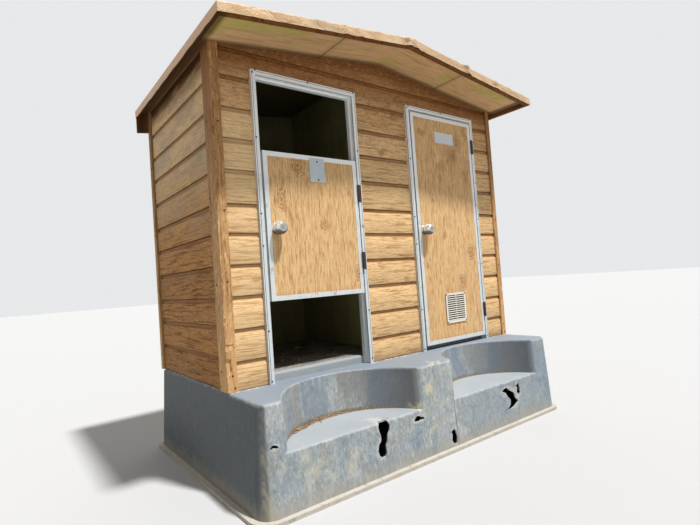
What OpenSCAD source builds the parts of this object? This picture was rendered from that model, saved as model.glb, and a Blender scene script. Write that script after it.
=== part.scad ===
// Wooden outhouse with two stalls, standing on a moulded tank.
// The origin is the middle of the tank's underside, +Z is up and the doors face -Y.

/* [Cabin] */
// Width of the cabin over its corner boards
cabin_w = 2200; // [2100:10:2500]
// Depth of the cabin over its corner boards
cabin_d = 1100; // [900:10:1400]
// Height of wall between the top of the door frames and the roof at the side walls
head_band = 90; // [40:5:300]
// Rise of the roof from a side wall to the ridge
ridge_rise = 129; // [60:1:240]
// Thickness of the outer walls
wall_t = 42; // [30:1:70]
// Thickness of the partition between the stalls
partition_t = 36; // [18:1:60]
// How far the corner boards stand proud of the walls
corner_t = 10; // [6:1:16]
// Width of the front left corner board on the front, and of both back ones on the back
corner_front_w = 50; // [35:1:90]
// Width of the front right corner board on the front
corner_right_w = 38; // [30:1:90]
// Width of the front corner boards on the sides
corner_side_w = 95; // [60:1:120]
// Width of the back corner boards on the sides
corner_back_w = 40; // [30:1:90]

/* [Roof] */
// Overhang of the roof in front of the cabin
roof_front = 305; // [150:5:400]
// Overhang of the roof behind the cabin, which is also the thickness of the back fascia boards
roof_back = 18; // [12:1:40]
// Overhang of the roof past each side
roof_side = 68; // [35:1:120]
// Thickness of the roof panels
roof_t = 24; // [18:1:40]
// Thickness of the fascia boards at the front
fascia_t = 30; // [18:1:40]
// How far the front fascia and the eave boards hang below the roof panels
fascia_drop = 26; // [10:1:50]
// How far the back fascia hangs below the roof panels
back_drop = 125; // [30:5:200]
// Thickness of the boards along the eaves
eave_board_t = 20; // [12:1:30]
// Thickness of the covering sheet
sheet_t = 3; // [2:0.5:5]
// Clearance between pieces that lie on each other along the roof's slopes
slope_gap = 0.1; // [0.05:0.05:0.5]

/* [Tank] */
// Height of the ledge above the ground
base_h = 492; // [400:1:600]
// Depth of the ledge in front of the cabin
ledge_d = 318; // [280:1:380]
// Wall thickness of the moulded tank
tank_t = 8; // [5:1:12]
// How far each side leans out towards its foot
draft = 25; // [5:1:45]
// Radius of the upright corners at the top
corner_r = 55; // [40:1:90]
// Radius of the rounded top edge
edge_r = 20; // [14:1:30]
// Thickness of the bottom plate
bottom_t = 18; // [10:1:30]
// How far the bottom plate sticks out as a rim
rim_w = 28; // [10:1:45]

/* [Steps] */
// Drop from the ledge to the treads
step_drop = 220; // [150:1:280]
// Width of a step recess along the front edge
step_w = 800; // [700:5:860]
// How far a step recess reaches back from the front edge
step_depth = 292; // [220:1:310]
// Sideways shift of both recesses from the middle of the doorways
step_shift = -38; // [-50:1:0]
// Radius of the upright edges where a recess meets the front
step_edge_r = 45; // [25:1:60]
// Radius of the rounded lip round a recess
step_lip_r = 14; // [9:1:20]
// Radius of the rounded front edge of a tread
tread_lip_r = 12; // [9:1:20]
// Place of the mould seam, from the middle of the front
seam_x = 84; // [60:1:130]
// Width and depth of the mould seam
seam_w = 4; // [2:1:6]

/* [Damage] */
// Middle of each hole broken through the tank's front: place across the front and height
hole_at = [[-1046, 308], [-450, 192], [-198, 229], [57, 72], [611, 169], [700, 206]];
// Width and height of each hole
hole_size = [[40, 19], [90, 176], [78, 30], [46, 85], [160, 136], [40, 76]];
// Height above the ledge of each chip torn out of the front left corner board
chip_z = [75, 196, 318, 512, 905, 1105, 1235];
// Height of each chip
chip_h = [90, 34, 36, 30, 80, 52, 44];
// Width of each chip, in from the corner
chip_w = [27, 46, 10, 7, 8, 14, 10];
// Depth of each chip
chip_d = [8, 4, 7, 6, 7, 8, 6];

/* [Floor] */
// Height of the raised floor above the ledge
floor_h = 45; // [20:1:60]
// Radius of the rounded edge of the raised floor
floor_edge_r = 14; // [5:1:18]

/* [Door frames] */
// Distance between the middles of the two doorways
door_pitch = 1090; // [1060:5:1200]
// Width over a door frame
frame_w = 674; // [640:1:700]
// Height over a door frame, from the ledge
frame_h = 1600; // [1500:5:1640]
// Width of the frame's face
frame_face = 26; // [20:1:40]
// How far the frame stands in front of the corner boards
frame_proud = 4; // [0:1:8]
// How far the door stop reaches into the doorway
stop_w = 10; // [6:1:16]
// Width and depth of the groove in the frame's face
frame_groove = 3; // [2:0.5:4]

/* [Doors] */
// Thickness of a door over its metal edging
door_t = 26; // [20:1:34]
// Gap between a door and its frame on the latch side
latch_gap = 12; // [6:1:14]
// Gap between a door and its frame on the hinge side
hinge_gap = 7; // [6:0.5:9]
// Running clearance between a closed door and its stop
stop_gap = 5; // [5:0.5:7]
// Width of the metal edging's face
edging_w = 25; // [18:1:35]
// Thickness of the metal edging
edging_t = 2; // [1.5:0.5:3]
// Height of the half door's lower edge above the ledge
half_door_z = 411; // [300:1:450]
// Height of the half door
half_door_h = 773; // [700:1:900]
// Height of the full door's lower edge above the ledge
full_door_z = 30; // [10:1:60]
// Gap above the full door
full_door_gap = 12; // [6:1:20]

/* [Knobs] */
// Height of the knobs above the ledge
knob_z = 782; // [740:1:900]
// Distance from a door's latch edge to the middle of its knob
knob_backset = 57; // [57:1:80]
// Radius of the knob
knob_r = 36; // [22:0.5:38]
// How far the knob's middle stands off the panel
knob_reach = 39; // [38:1:55]
// Radius of the round plate under the knob
rose_r = 31; // [24:0.5:31]
// Thickness of the round plate
rose_t = 7; // [4:0.5:9]
// How far the key barrel stands out of the outer knob
key_proud = 1.5; // [0.5:0.5:4]
// How far the lock button stands out of the inner knob
button_proud = 6; // [3:0.5:10]
// Radius of the knob's neck and of the barrel through the door
neck_r = 11; // [8:0.5:13]
// Clearance round the barrel in the door panel
barrel_gap = 0.5; // [0.3:0.1:1.5]

/* [Hinges] */
// Height of a hinge
hinge_h = 100; // [70:1:120]
// Outer radius of a hinge knuckle
knuckle_r = 7; // [6:0.5:9]
// Radius of the hinge pin
pin_r = 3; // [2:0.5:4]
// Clearance round the pin in the door's knuckle
pin_gap = 0.2; // [0.1:0.05:0.5]
// Clearance between the ends of neighbouring knuckles
knuckle_gap = 0.5; // [0.3:0.1:1]
// Thickness of the hinge leaves
leaf_t = 2; // [1.5:0.5:2.5]
// Clearance between a leaf and the other leaf's knuckles
leaf_gap = 1; // [0.5:0.5:2]
// Width of the leaf on the frame
frame_leaf_w = 20; // [14:1:22]
// Depth of the leaf on the door's edge
door_leaf_w = 20; // [12:1:24]
// Height of the half door's hinges above the ledge, lower and upper
half_hinge_z = [598, 993];
// Height of the full door's hinges above the ledge, lower and upper
full_hinge_z = [212, 1393];

/* [Vent and plate] */
// Width and height of the vent grille
vent_w = 200; // [160:1:240]
// Thickness of the vent grille
vent_t = 6; // [4:0.5:10]
// Width of the grille's border
vent_border = 14; // [8:1:20]
// Width of the bar between the two columns of louvres
vent_bar = 10; // [6:1:16]
// Number of louvres
vent_count = 12; // [8:1:14]
// Tilt of the louvres
vent_tilt = 35; // [20:1:45]
// Thickness of a louvre
louvre_t = 1.6; // [1.2:0.1:2.5]
// Share of the louvres' spacing that each louvre covers
louvre_cover = 0.8; // [0.6:0.05:0.95]
// Distance from the full door's latch edge to the middle of the vent
vent_x = 305; // [250:1:400]
// Height of the vent's middle above the ledge
vent_z = 252; // [200:1:400]
// Width of the plate on the half door
plate_w = 99; // [60:1:120]
// Height of the plate on the half door
plate_h = 131; // [80:1:160]
// Thickness of the plate
plate_t = 2; // [1:0.5:3]
// Distance from the half door's latch edge to the middle of the plate
plate_x = 329; // [200:1:400]
// Distance from the half door's top edge down to the plate
plate_drop = 12; // [4:1:20]

/* [Hidden] */
$fn = 64;
// Overcut that lets a cutter run clear of the face it opens
cut = 1;
// Height by which a rounded lip is lifted, so that it crosses the flat above and doesn't just touch it
lip_lift = 0.1;

// Cabin's outer planes and the height of its side walls above the ledge
half_w = cabin_w / 2;
eave_h = frame_h + head_band;
tank_d = ledge_d + cabin_d;
front_y = ledge_d - tank_d / 2;
back_y = front_y + cabin_d;
front_in = front_y + corner_t + wall_t;
back_in = back_y - corner_t - wall_t;
side_in = half_w - corner_t - wall_t;

// Roof, with the covering sheet's faces as heights above the panels' underside
eave_x = half_w + roof_side;
roof_y0 = front_y - roof_front;
roof_y1 = back_y + roof_back;
sheet_low = roof_t + slope_gap;
sheet_high = sheet_low + sheet_t;

// Height of the walls' top edge over a point
function soffit(x) = base_h + eave_h + ridge_rise * (1 - abs(x) / half_w);

// Doorways: side -1 is the left one and 1 the right one
function door_x(side) = side * door_pitch / 2;
frame_half = frame_w / 2;
frame_in = frame_half - frame_face;
frame_y0 = front_y - frame_proud;
door_y0 = frame_y0;
door_y1 = door_y0 + door_t;
panel_y0 = door_y0 + edging_t;
panel_y1 = door_y1 - edging_t;
panel_t = panel_y1 - panel_y0;
stop_y = door_y1 + stop_gap;
door_in = -frame_in + latch_gap;
door_out = frame_in - hinge_gap;
door_w = door_out - door_in;
full_door_h = frame_h - frame_face - full_door_gap - full_door_z;
hinge_x = frame_in - hinge_gap / 2;
hinge_y = door_y0 - knuckle_r;
knuckle_h = hinge_h / 3;

// Steps: the recess is an arc through the ends of its width
tread_z = base_h - step_drop;
draft_angle = atan(draft / (base_h - edge_r - bottom_t));
step_r = (step_w * step_w / 4 + step_depth * step_depth) / (2 * step_depth);
step_cy = -tank_d / 2 + step_depth - step_r;
step_fy = -tank_d / 2 + step_edge_r - lip_lift;
step_fx = sqrt(pow(step_r + step_edge_r, 2) - pow(step_fy - step_cy, 2));
step_reach = 2 * step_edge_r;

// Knob: shares of its radius at which the front is cut flat and the back is cut off, and barrel and button
knob_flat = 0.8;
knob_back = 0.85;
key_r = knob_r / 4;
button_r = knob_r / 5;

// A box between two opposite corners
module span(a, b) {
    translate(a) cube(b - a);
}

// A profile drawn in X and Z, run from y0 back to y1
module run_y(y0, y1) {
    translate([0, y1, 0]) rotate([90, 0, 0]) linear_extrude(y1 - y0) children();
}

// A profile drawn in Y and Z, run from x0 to x1
module run_x(x0, x1) {
    translate([x0, 0, 0]) rotate([90, 0, 90]) linear_extrude(x1 - x0) children();
}

// A wall between x0 and x1 that stands on z0 and reaches the roof's underside
module wall_to_roof(x0, x1, y0, y1, z0) {
    ridge = x0 < 0 && x1 > 0 ? [[0, soffit(0)]] : [];
    run_y(y0, y1) polygon(concat(
        [[x0, z0], [x1, z0], [x1, soffit(x1)]],
        ridge,
        [[x0, soffit(x0)]]
    ));
}

// Section from the corner's middle out to the tank's side, with half width r and top rounding e
module tank_section(r, e, z0) {
    z1 = base_h - edge_r;
    polygon([[0, z0], [r + draft, z0], [r, z1], [0, z1]]);
    translate([0, z1]) square([r - e, e]);
    intersection() {
        translate([r - e, z1]) circle(r = e);
        translate([r - e, z1]) square([e, e]);
    }
}

// Rounded block of the tank, drawn smaller all round by the given inset, down to z0
module tank_form(inset, z0) {
    r = corner_r - inset;
    e = edge_r - inset;
    cx = half_w - corner_r;
    cy = tank_d / 2 - corner_r;
    span([-cx, -cy, z0], [cx, cy, base_h - inset]);
    for (sx = [0, 1]) mirror([sx, 0, 0]) {
        translate([cx, 0, 0]) run_y(-cy, cy) tank_section(r, e, z0);
        for (sy = [0, 1]) mirror([0, sy, 0]) {
            translate([cx, cy, 0]) rotate_extrude(angle = 90) tank_section(r, e, z0);
        }
    }
    for (sy = [0, 1]) mirror([0, sy, 0]) {
        translate([0, cy, 0]) run_x(-cx, cx) tank_section(r, e, z0);
    }
}

// Plan of one step recess, drawn larger all round by grow
module step_plan(grow) {
    r = step_r + grow;
    y0 = -tank_d / 2 - step_reach;
    share = r / (step_r + step_edge_r);
    tx = step_fx * share;
    ty = step_cy + (step_fy - step_cy) * share;
    difference() {
        union() {
            translate([0, step_cy]) circle(r = r, $fn = 128);
            polygon([
                [-step_fx, y0], [step_fx, y0], [step_fx, step_fy], [tx, ty],
                [-tx, ty], [-step_fx, step_fy]
            ]);
        }
        for (s = [-1, 1]) translate([s * step_fx, step_fy]) circle(r = step_edge_r - grow);
    }
}

// The recess leans with the front of the tank, and its tread is level
module step_prism(grow, z0, z1) {
    intersection() {
        translate([0, -tank_d / 2, base_h - edge_r]) rotate([-draft_angle, 0, 0])
            translate([0, tank_d / 2, -base_h]) linear_extrude(2 * base_h) step_plan(grow);
        span([-half_w, -tank_d, z0], [half_w, tank_d, z1]);
    }
}

// Everything that one step takes out of the tank
module step_void(grow) {
    lip = step_lip_r - grow;
    z1 = base_h - grow;
    step_prism(grow, tread_z - grow, base_h + edge_r);
    translate([0, step_cy, 0]) rotate_extrude($fn = 128) difference() {
        translate([step_r + grow - cut, z1 - lip]) square([lip + cut, lip + cut]);
        translate([step_r + grow + lip, z1 - lip + lip_lift]) circle(r = lip);
    }
}

// The rounded front edge of a tread
module tread_edge() {
    y = -tank_d / 2 - tan(draft_angle) * (step_drop - edge_r);
    intersection() {
        step_prism(0, tread_z - tread_lip_r, tread_z + cut);
        run_x(-half_w, half_w) difference() {
            translate([y - cut, tread_z - tread_lip_r]) square([tread_lip_r + cut, tread_lip_r + 2 * cut]);
            translate([y + tread_lip_r, tread_z - tread_lip_r + lip_lift]) circle(r = tread_lip_r);
        }
    }
}

// Outlines of the broken holes, each drawn one unit wide and high
hole_outlines = [
    [
        [-0.5, -0.2], [-0.3, 0.4], [-0.08, 0.5], [0.4, 0.1],
        [0.5, -0.4], [0.35, -0.5], [-0.1, -0.2], [-0.34, -0.45]
    ],
    [
        [-0.2, 0.5], [0.08, 0.49], [0.36, 0.44], [0.5, 0.31], [0.46, 0.17], [0.3, 0.06], [0.21, -0.13],
        [0.1, -0.22], [0.1, -0.42], [0, -0.49], [-0.24, -0.5], [-0.44, -0.41], [-0.5, -0.29],
        [-0.42, -0.13], [-0.23, -0.05], [-0.21, 0.11], [-0.29, 0.2], [-0.34, 0.36]
    ],
    [
        [-0.5, -0.42], [-0.39, 0.2], [-0.18, 0.5], [0.04, 0.46], [0.18, 0.16], [0.46, 0.02],
        [0.5, -0.4], [0.2, -0.3], [0, -0.5], [-0.24, -0.4]
    ],
    [
        [-0.47, 0.36], [0.12, 0.5], [0.35, 0.25], [0.5, -0.06],
        [0.38, -0.46], [-0.15, -0.5], [-0.5, -0.2], [-0.36, 0.14]
    ],
    [
        [-0.5, 0.4], [-0.36, 0.48], [-0.17, 0.5], [-0.04, 0.36], [0.26, 0.18], [0.32, -0.08], [0.5, -0.24],
        [0.37, -0.34], [0.18, -0.44], [-0.05, -0.5], [-0.35, -0.48], [-0.16, -0.4], [-0.04, -0.27],
        [-0.01, -0.09], [-0.17, 0.1], [-0.28, 0.28]
    ],
    [[0.25, 0.5], [-0.5, 0.32], [-0.2, 0.15], [-0.43, -0.22], [0.24, -0.5], [0.5, -0.29], [0.45, 0.14]]
];

module broken_holes() {
    for (k = [0 : len(hole_at) - 1]) {
        run_y(-tank_d / 2 - draft - cut, -tank_d / 2 + tank_t + cut)
            translate(hole_at[k]) scale(hole_size[k]) polygon(hole_outlines[k]);
    }
}

module tank() {
    color("slategray") difference() {
        tank_form(0, bottom_t);
        for (side = [-1, 1]) translate([door_x(side) + step_shift, 0, 0]) {
            step_void(0);
            tread_edge();
        }
        difference() {
            tank_form(tank_t, bottom_t - cut);
            for (side = [-1, 1]) translate([door_x(side) + step_shift, 0, 0]) step_void(tank_t);
        }
        broken_holes();
        translate([seam_x, -tank_d / 2, base_h - edge_r]) rotate([-draft_angle, 0, 0])
            span([-seam_w / 2, -cut, -base_h], [seam_w / 2, seam_w / 2, edge_r - step_drop]);
    }
}

// Flat plate that closes the tank's underside and sticks out as a rim
module tank_bottom() {
    r = corner_r + draft + rim_w;
    hx = half_w + draft + rim_w;
    hy = tank_d / 2 + draft + rim_w;
    color("gainsboro") {
        span([-hx, -hy + r, 0], [hx, hy - r, bottom_t]);
        span([-hx + r, -hy, 0], [hx - r, hy, bottom_t]);
        for (sx = [-1, 1], sy = [-1, 1]) {
            translate([sx * (hx - r), sy * (hy - r), 0]) cylinder(r = r, h = bottom_t);
        }
    }
}

// Raised floor inside the walls, with a rounded kerb across the doorways
module floor_pan() {
    z1 = base_h + floor_h;
    e = floor_edge_r;
    color("darkgray") {
        span([-side_in, front_in + e, base_h], [side_in, back_in, z1]);
        span([-side_in, front_in, base_h], [side_in, front_in + 2 * e, z1 - e]);
        translate([-side_in, front_in + e, z1 - e]) rotate([0, 90, 0]) cylinder(r = e, h = 2 * side_in);
    }
}

// Part of the front wall beside a doorway
module front_wall_part(x0, x1) {
    color("sandybrown") span([x0, front_y + corner_t, base_h], [x1, front_in, base_h + frame_h]);
}

module front_wall_left() {
    front_wall_part(-half_w + corner_t, door_x(-1) - frame_half);
}

module front_wall_middle() {
    front_wall_part(door_x(-1) + frame_half, door_x(1) - frame_half);
}

module front_wall_right() {
    front_wall_part(door_x(1) + frame_half, half_w - corner_t);
}

module front_wall_top() {
    color("sandybrown")
        wall_to_roof(-half_w + corner_t, half_w - corner_t, front_y + corner_t, front_in, base_h + frame_h);
}

module left_wall() {
    color("peru") wall_to_roof(-half_w + corner_t, -side_in, front_in, back_in, base_h);
}

module right_wall() {
    color("peru") wall_to_roof(side_in, half_w - corner_t, front_in, back_in, base_h);
}

module back_wall() {
    color("sandybrown")
        wall_to_roof(-half_w + corner_t, half_w - corner_t, back_in, back_y - corner_t, base_h);
}

module partition() {
    color("tan")
        wall_to_roof(-partition_t / 2, partition_t / 2, front_in, back_in, base_h + floor_h);
}

// Two boards nailed round a corner of the cabin: sx and sy say which corner, and the widths are
// those of the board on the front or back and of the one on the side
module corner_boards(sx, sy, face_w, side_w) {
    x = [for (w = [0, face_w, corner_t]) half_w - w];
    y = sy < 0 ? front_y : back_y;
    color("burlywood") mirror([sx < 0 ? 1 : 0, 0, 0]) {
        wall_to_roof(x[1], x[0], min(y, y - sy * corner_t), max(y, y - sy * corner_t), base_h);
        wall_to_roof(x[2], x[0], min(y, y - sy * side_w), max(y, y - sy * side_w), base_h);
    }
}

// A chip torn out of the front left corner: w wide and d deep, between the heights z and z + h
module chip(z, h, w, d) {
    translate([-half_w, front_y, base_h + z]) run_y(-cut, d)
        polygon([[-cut, 0], [w * 0.6, h / 8], [w, h * 0.4], [w * 0.8, h * 0.6], [w * 0.9, h * 0.9],
            [-cut, h]]);
}

module corner_boards_front_left() {
    color("burlywood") difference() {
        corner_boards(-1, -1, corner_front_w, corner_side_w);
        for (k = [0 : len(chip_z) - 1]) chip(chip_z[k], chip_h[k], chip_w[k], chip_d[k]);
    }
}

module corner_boards_front_right() {
    corner_boards(1, -1, corner_right_w, corner_side_w);
}

module corner_boards_back_left() {
    corner_boards(-1, 1, corner_front_w, corner_back_w);
}

module corner_boards_back_right() {
    corner_boards(1, 1, corner_front_w, corner_back_w);
}

// A strip of roof on the right-hand slope: low and high are heights above the panels' underside
module roof_strip(x0, x1, y0, y1, low, high) {
    z0 = soffit(x0) + slope_gap;
    z1 = soffit(x1) + slope_gap;
    run_y(y0, y1) polygon([[x0, z0 + low], [x1, z1 + low], [x1, z1 + high], [x0, z0 + high]]);
}

module roof_panel() {
    color("rosybrown") roof_strip(0, eave_x - eave_board_t, roof_y0 + fascia_t, back_y, 0, roof_t);
}

module fascia(y0, y1, drop) {
    color("burlywood") roof_strip(0, eave_x, y0, y1, -drop, roof_t);
}

module eave_board() {
    color("burlywood")
        roof_strip(eave_x - eave_board_t, eave_x, roof_y0 + fascia_t, back_y, -fascia_drop, roof_t);
}

// Covering sheet, turned down over the fascia boards and the eave
module roof_sheet() {
    x1 = eave_x + sheet_t;
    y0 = roof_y0 - sheet_t;
    y1 = roof_y1 + sheet_t;
    color("navajowhite") {
        roof_strip(0, x1, y0, y1, sheet_low, sheet_high);
        roof_strip(eave_x, x1, y0, y1, -fascia_drop, sheet_high);
        roof_strip(0, x1, y0, roof_y0, -fascia_drop, sheet_high);
        roof_strip(0, x1, roof_y1, y1, -fascia_drop, sheet_high);
    }
}

module roof_panel_right() {
    roof_panel();
}

module roof_panel_left() {
    mirror([1, 0, 0]) roof_panel();
}

module roof_sheet_right() {
    roof_sheet();
}

module roof_sheet_left() {
    mirror([1, 0, 0]) roof_sheet();
}

module front_fascia_right() {
    fascia(roof_y0, roof_y0 + fascia_t, fascia_drop);
}

module front_fascia_left() {
    mirror([1, 0, 0]) front_fascia_right();
}

module back_fascia_right() {
    fascia(back_y, roof_y1, back_drop);
}

module back_fascia_left() {
    mirror([1, 0, 0]) back_fascia_right();
}

module eave_board_right() {
    eave_board();
}

module eave_board_left() {
    mirror([1, 0, 0]) eave_board();
}

// Section of a frame member: u runs from its outer edge into the doorway, v from front to back
module frame_section() {
    g = frame_groove;
    polygon([
        [0, frame_y0], [2 * g, frame_y0], [2 * g, frame_y0 + g], [3 * g, frame_y0 + g], [3 * g, frame_y0],
        [frame_face, frame_y0], [frame_face, stop_y], [frame_face + stop_w, stop_y],
        [frame_face + stop_w, front_in], [0, front_in]
    ]);
}

module frame_jambs(side) {
    color("lightsteelblue") translate([door_x(side), 0, base_h]) {
        for (m = [0, 1]) mirror([m, 0, 0]) translate([-frame_half, 0, 0])
            linear_extrude(frame_h) frame_section();
    }
}

module frame_head(side) {
    color("lightsteelblue") translate([door_x(side), 0, base_h + frame_h]) difference() {
        translate([-frame_in, 0, 0]) rotate([0, 90, 0]) linear_extrude(2 * frame_in) frame_section();
        for (s = [-1, 1]) {
            span(
                [min(s * (frame_in - stop_w), s * (frame_in + cut)), stop_y, -frame_face - stop_w - cut],
                [max(s * (frame_in - stop_w), s * (frame_in + cut)), front_in + cut, cut]
            );
        }
    }
}

module left_frame_jambs() {
    frame_jambs(-1);
}

module left_frame_head() {
    frame_head(-1);
}

module right_frame_jambs() {
    frame_jambs(1);
}

module right_frame_head() {
    frame_head(1);
}

// Knuckles of a hinge: which is [0, 2] for the frame's two and [1] for the door's one
module knuckles(which, bore) {
    for (k = which) translate([0, 0, k * knuckle_h + knuckle_gap / 2]) difference() {
        cylinder(r = knuckle_r, h = knuckle_h - knuckle_gap);
        translate([0, 0, -cut]) cylinder(r = bore, h = knuckle_h + 2 * cut);
    }
}

// Room that a leaf leaves round the other leaf's knuckles
module knuckle_room(which) {
    for (k = which) translate([0, 0, k * knuckle_h - knuckle_gap / 2])
        cylinder(r = knuckle_r + leaf_gap, h = knuckle_h + knuckle_gap);
}

// Frame half of each hinge: leaf on the frame's face, two knuckles and the pin
module frame_hinges(side, heights) {
    color("saddlebrown") for (z = heights) {
        translate([door_x(side) + hinge_x, hinge_y, base_h + z - hinge_h / 2]) {
            knuckles([0, 2], pin_r - pin_gap);
            cylinder(r = pin_r, h = hinge_h - knuckle_gap / 2);
            difference() {
                span([0, knuckle_r - leaf_t, 0], [frame_leaf_w + hinge_gap / 2, knuckle_r, hinge_h]);
                cylinder(r = pin_r, h = hinge_h);
                knuckle_room([1]);
            }
        }
    }
}

// Door half of each hinge: leaf on the door's edge and the middle knuckle
module door_hinges(side, heights) {
    color("saddlebrown") for (z = heights) {
        translate([door_x(side) + hinge_x, hinge_y, base_h + z - hinge_h / 2]) {
            knuckles([1], pin_r + pin_gap);
            difference() {
                span([-hinge_gap / 2, 0, 0], [-hinge_gap / 2 + leaf_t, knuckle_r + door_leaf_w, hinge_h]);
                translate([0, 0, -cut]) cylinder(r = pin_r + pin_gap, h = hinge_h + 2 * cut);
                knuckle_room([0, 2]);
            }
        }
    }
}

module left_frame_hinges() {
    frame_hinges(-1, half_hinge_z);
}

module right_frame_hinges() {
    frame_hinges(1, full_hinge_z);
}

module left_door_hinges() {
    door_hinges(-1, half_hinge_z);
}

module right_door_hinges() {
    door_hinges(1, full_hinge_z);
}

// Plywood of a door: it reaches into the metal edging on all four sides
module door_panel(side, z, h) {
    color("burlywood") difference() {
        span(
            [door_x(side) + door_in + edging_t, panel_y0, base_h + z + edging_t],
            [door_x(side) + door_out - edging_t, panel_y1, base_h + z + h - edging_t]
        );
        translate([door_x(side) + door_in + knob_backset, panel_y1 + cut, base_h + knob_z])
            rotate([90, 0, 0]) cylinder(r = neck_r + barrel_gap, h = panel_t + 2 * cut);
    }
}

// Section of the edging channel: it opens towards +u
module edging_section() {
    difference() {
        translate([0, door_y0]) square([edging_w, door_t]);
        translate([edging_t, panel_y0]) square([edging_w, panel_t]);
    }
}

module door_stiles(side, z, h) {
    color("lightsteelblue") translate([door_x(side), 0, base_h + z]) {
        translate([door_in, 0, 0]) linear_extrude(h) edging_section();
        translate([door_out, 0, 0]) mirror([1, 0, 0]) linear_extrude(h) edging_section();
    }
}

module door_rails(side, z, h) {
    length = door_w - 2 * edging_w;
    color("lightsteelblue") translate([door_x(side) + door_in + edging_w, 0, base_h + z]) {
        rotate([0, -90, 0]) translate([0, 0, -length]) linear_extrude(length) edging_section();
        translate([0, 0, h]) rotate([0, 90, 0]) linear_extrude(length) edging_section();
    }
}

// Knob on one face, built up along +Z from the panel: the outer one has a key barrel, the inner one a button
module knob_half(keyed) {
    front = knob_reach + knob_r * knob_flat;
    back = knob_reach - knob_r * knob_back;
    cylinder(r1 = rose_r, r2 = rose_r - rose_t / 2, h = rose_t);
    cylinder(r = neck_r, h = knob_reach);
    intersection() {
        translate([0, 0, knob_reach]) sphere(r = knob_r);
        translate([0, 0, back]) cylinder(r = knob_r + cut, h = front - back);
    }
    if (keyed) cylinder(r = key_r, h = front + key_proud);
    else cylinder(r = button_r, h = front + button_proud);
}

module door_knob(side) {
    color("silver") translate([door_x(side) + door_in + knob_backset, 0, base_h + knob_z]) {
        translate([0, panel_y0, 0]) rotate([90, 0, 0]) knob_half(true);
        translate([0, panel_y1, 0]) rotate([-90, 0, 0]) knob_half(false);
        translate([0, panel_y1, 0]) rotate([90, 0, 0]) cylinder(r = neck_r, h = panel_t);
    }
}

module left_door_panel() {
    door_panel(-1, half_door_z, half_door_h);
}

module left_door_stiles() {
    door_stiles(-1, half_door_z, half_door_h);
}

module left_door_rails() {
    door_rails(-1, half_door_z, half_door_h);
}

module left_door_knob() {
    door_knob(-1);
}

// Blank plate screwed over the half door's top edge
module left_door_plate() {
    x = door_x(-1) + door_in + plate_x;
    z = base_h + half_door_z + half_door_h - plate_drop;
    color("whitesmoke")
        span([x - plate_w / 2, door_y0 - plate_t, z - plate_h], [x + plate_w / 2, door_y0, z]);
}

module right_door_panel() {
    hole = vent_w - 2 * vent_border;
    color("burlywood") difference() {
        door_panel(1, full_door_z, full_door_h);
        translate([door_x(1) + door_in + vent_x, (panel_y0 + panel_y1) / 2, base_h + vent_z])
            cube([hole, 2 * panel_t, hole], center = true);
    }
}

module right_door_stiles() {
    door_stiles(1, full_door_z, full_door_h);
}

module right_door_rails() {
    door_rails(1, full_door_z, full_door_h);
}

module right_door_knob() {
    door_knob(1);
}

// Vent grille: a frame with two columns of tilted louvres
module right_door_vent() {
    inner = vent_w - 2 * vent_border;
    pitch = inner / vent_count;
    blade = pitch / cos(vent_tilt) * louvre_cover;
    color("white") translate([door_x(1) + door_in + vent_x, panel_y0 - vent_t / 2, base_h + vent_z]) {
        difference() {
            cube([vent_w, vent_t, vent_w], center = true);
            cube([inner, vent_t + 2 * cut, inner], center = true);
        }
        cube([vent_bar, vent_t, inner + cut], center = true);
        intersection() {
            cube([inner + cut, vent_t, inner + cut], center = true);
            for (k = [0 : vent_count - 1]) {
                translate([0, 0, (k + 0.5) * pitch - inner / 2]) rotate([90 - vent_tilt, 0, 0])
                    cube([inner + cut, blade, louvre_t], center = true);
            }
        }
    }
}

tank();
tank_bottom();
floor_pan();
front_wall_left();
front_wall_middle();
front_wall_right();
front_wall_top();
left_wall();
right_wall();
back_wall();
partition();
corner_boards_front_left();
corner_boards_front_right();
corner_boards_back_left();
corner_boards_back_right();
roof_panel_left();
roof_panel_right();
roof_sheet_left();
roof_sheet_right();
front_fascia_left();
front_fascia_right();
back_fascia_left();
back_fascia_right();
eave_board_left();
eave_board_right();
left_frame_jambs();
left_frame_head();
right_frame_jambs();
right_frame_head();
left_frame_hinges();
right_frame_hinges();
left_door_panel();
left_door_stiles();
left_door_rails();
left_door_knob();
left_door_hinges();
left_door_plate();
right_door_panel();
right_door_stiles();
right_door_rails();
right_door_knob();
right_door_hinges();
right_door_vent();
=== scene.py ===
import math
import random

import bpy
from mathutils import Matrix, Vector


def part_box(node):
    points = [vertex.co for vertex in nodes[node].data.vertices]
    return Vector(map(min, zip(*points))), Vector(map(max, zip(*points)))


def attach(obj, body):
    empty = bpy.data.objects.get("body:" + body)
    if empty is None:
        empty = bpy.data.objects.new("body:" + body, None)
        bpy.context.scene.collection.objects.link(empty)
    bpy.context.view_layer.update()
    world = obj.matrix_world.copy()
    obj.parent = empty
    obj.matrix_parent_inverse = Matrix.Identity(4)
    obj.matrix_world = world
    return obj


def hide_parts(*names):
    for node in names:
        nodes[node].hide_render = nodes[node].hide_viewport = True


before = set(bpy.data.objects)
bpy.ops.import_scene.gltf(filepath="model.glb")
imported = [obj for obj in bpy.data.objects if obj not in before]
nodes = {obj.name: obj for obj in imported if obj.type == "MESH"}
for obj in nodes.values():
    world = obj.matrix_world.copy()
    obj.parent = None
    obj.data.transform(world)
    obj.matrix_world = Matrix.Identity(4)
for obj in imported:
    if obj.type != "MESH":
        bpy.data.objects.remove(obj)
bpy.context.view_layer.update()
random.seed(11)
print("frame loaded:", len(nodes), "nodes")


def clearSelection():
    if bpy.context.mode != "OBJECT":
        bpy.ops.object.mode_set(mode="OBJECT")
    bpy.ops.object.select_all(action="DESELECT")


def selectOnly(*pieces):
    clearSelection()
    for piece in pieces:
        piece.select_set(True)
    bpy.context.view_layer.objects.active = pieces[0]


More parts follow.
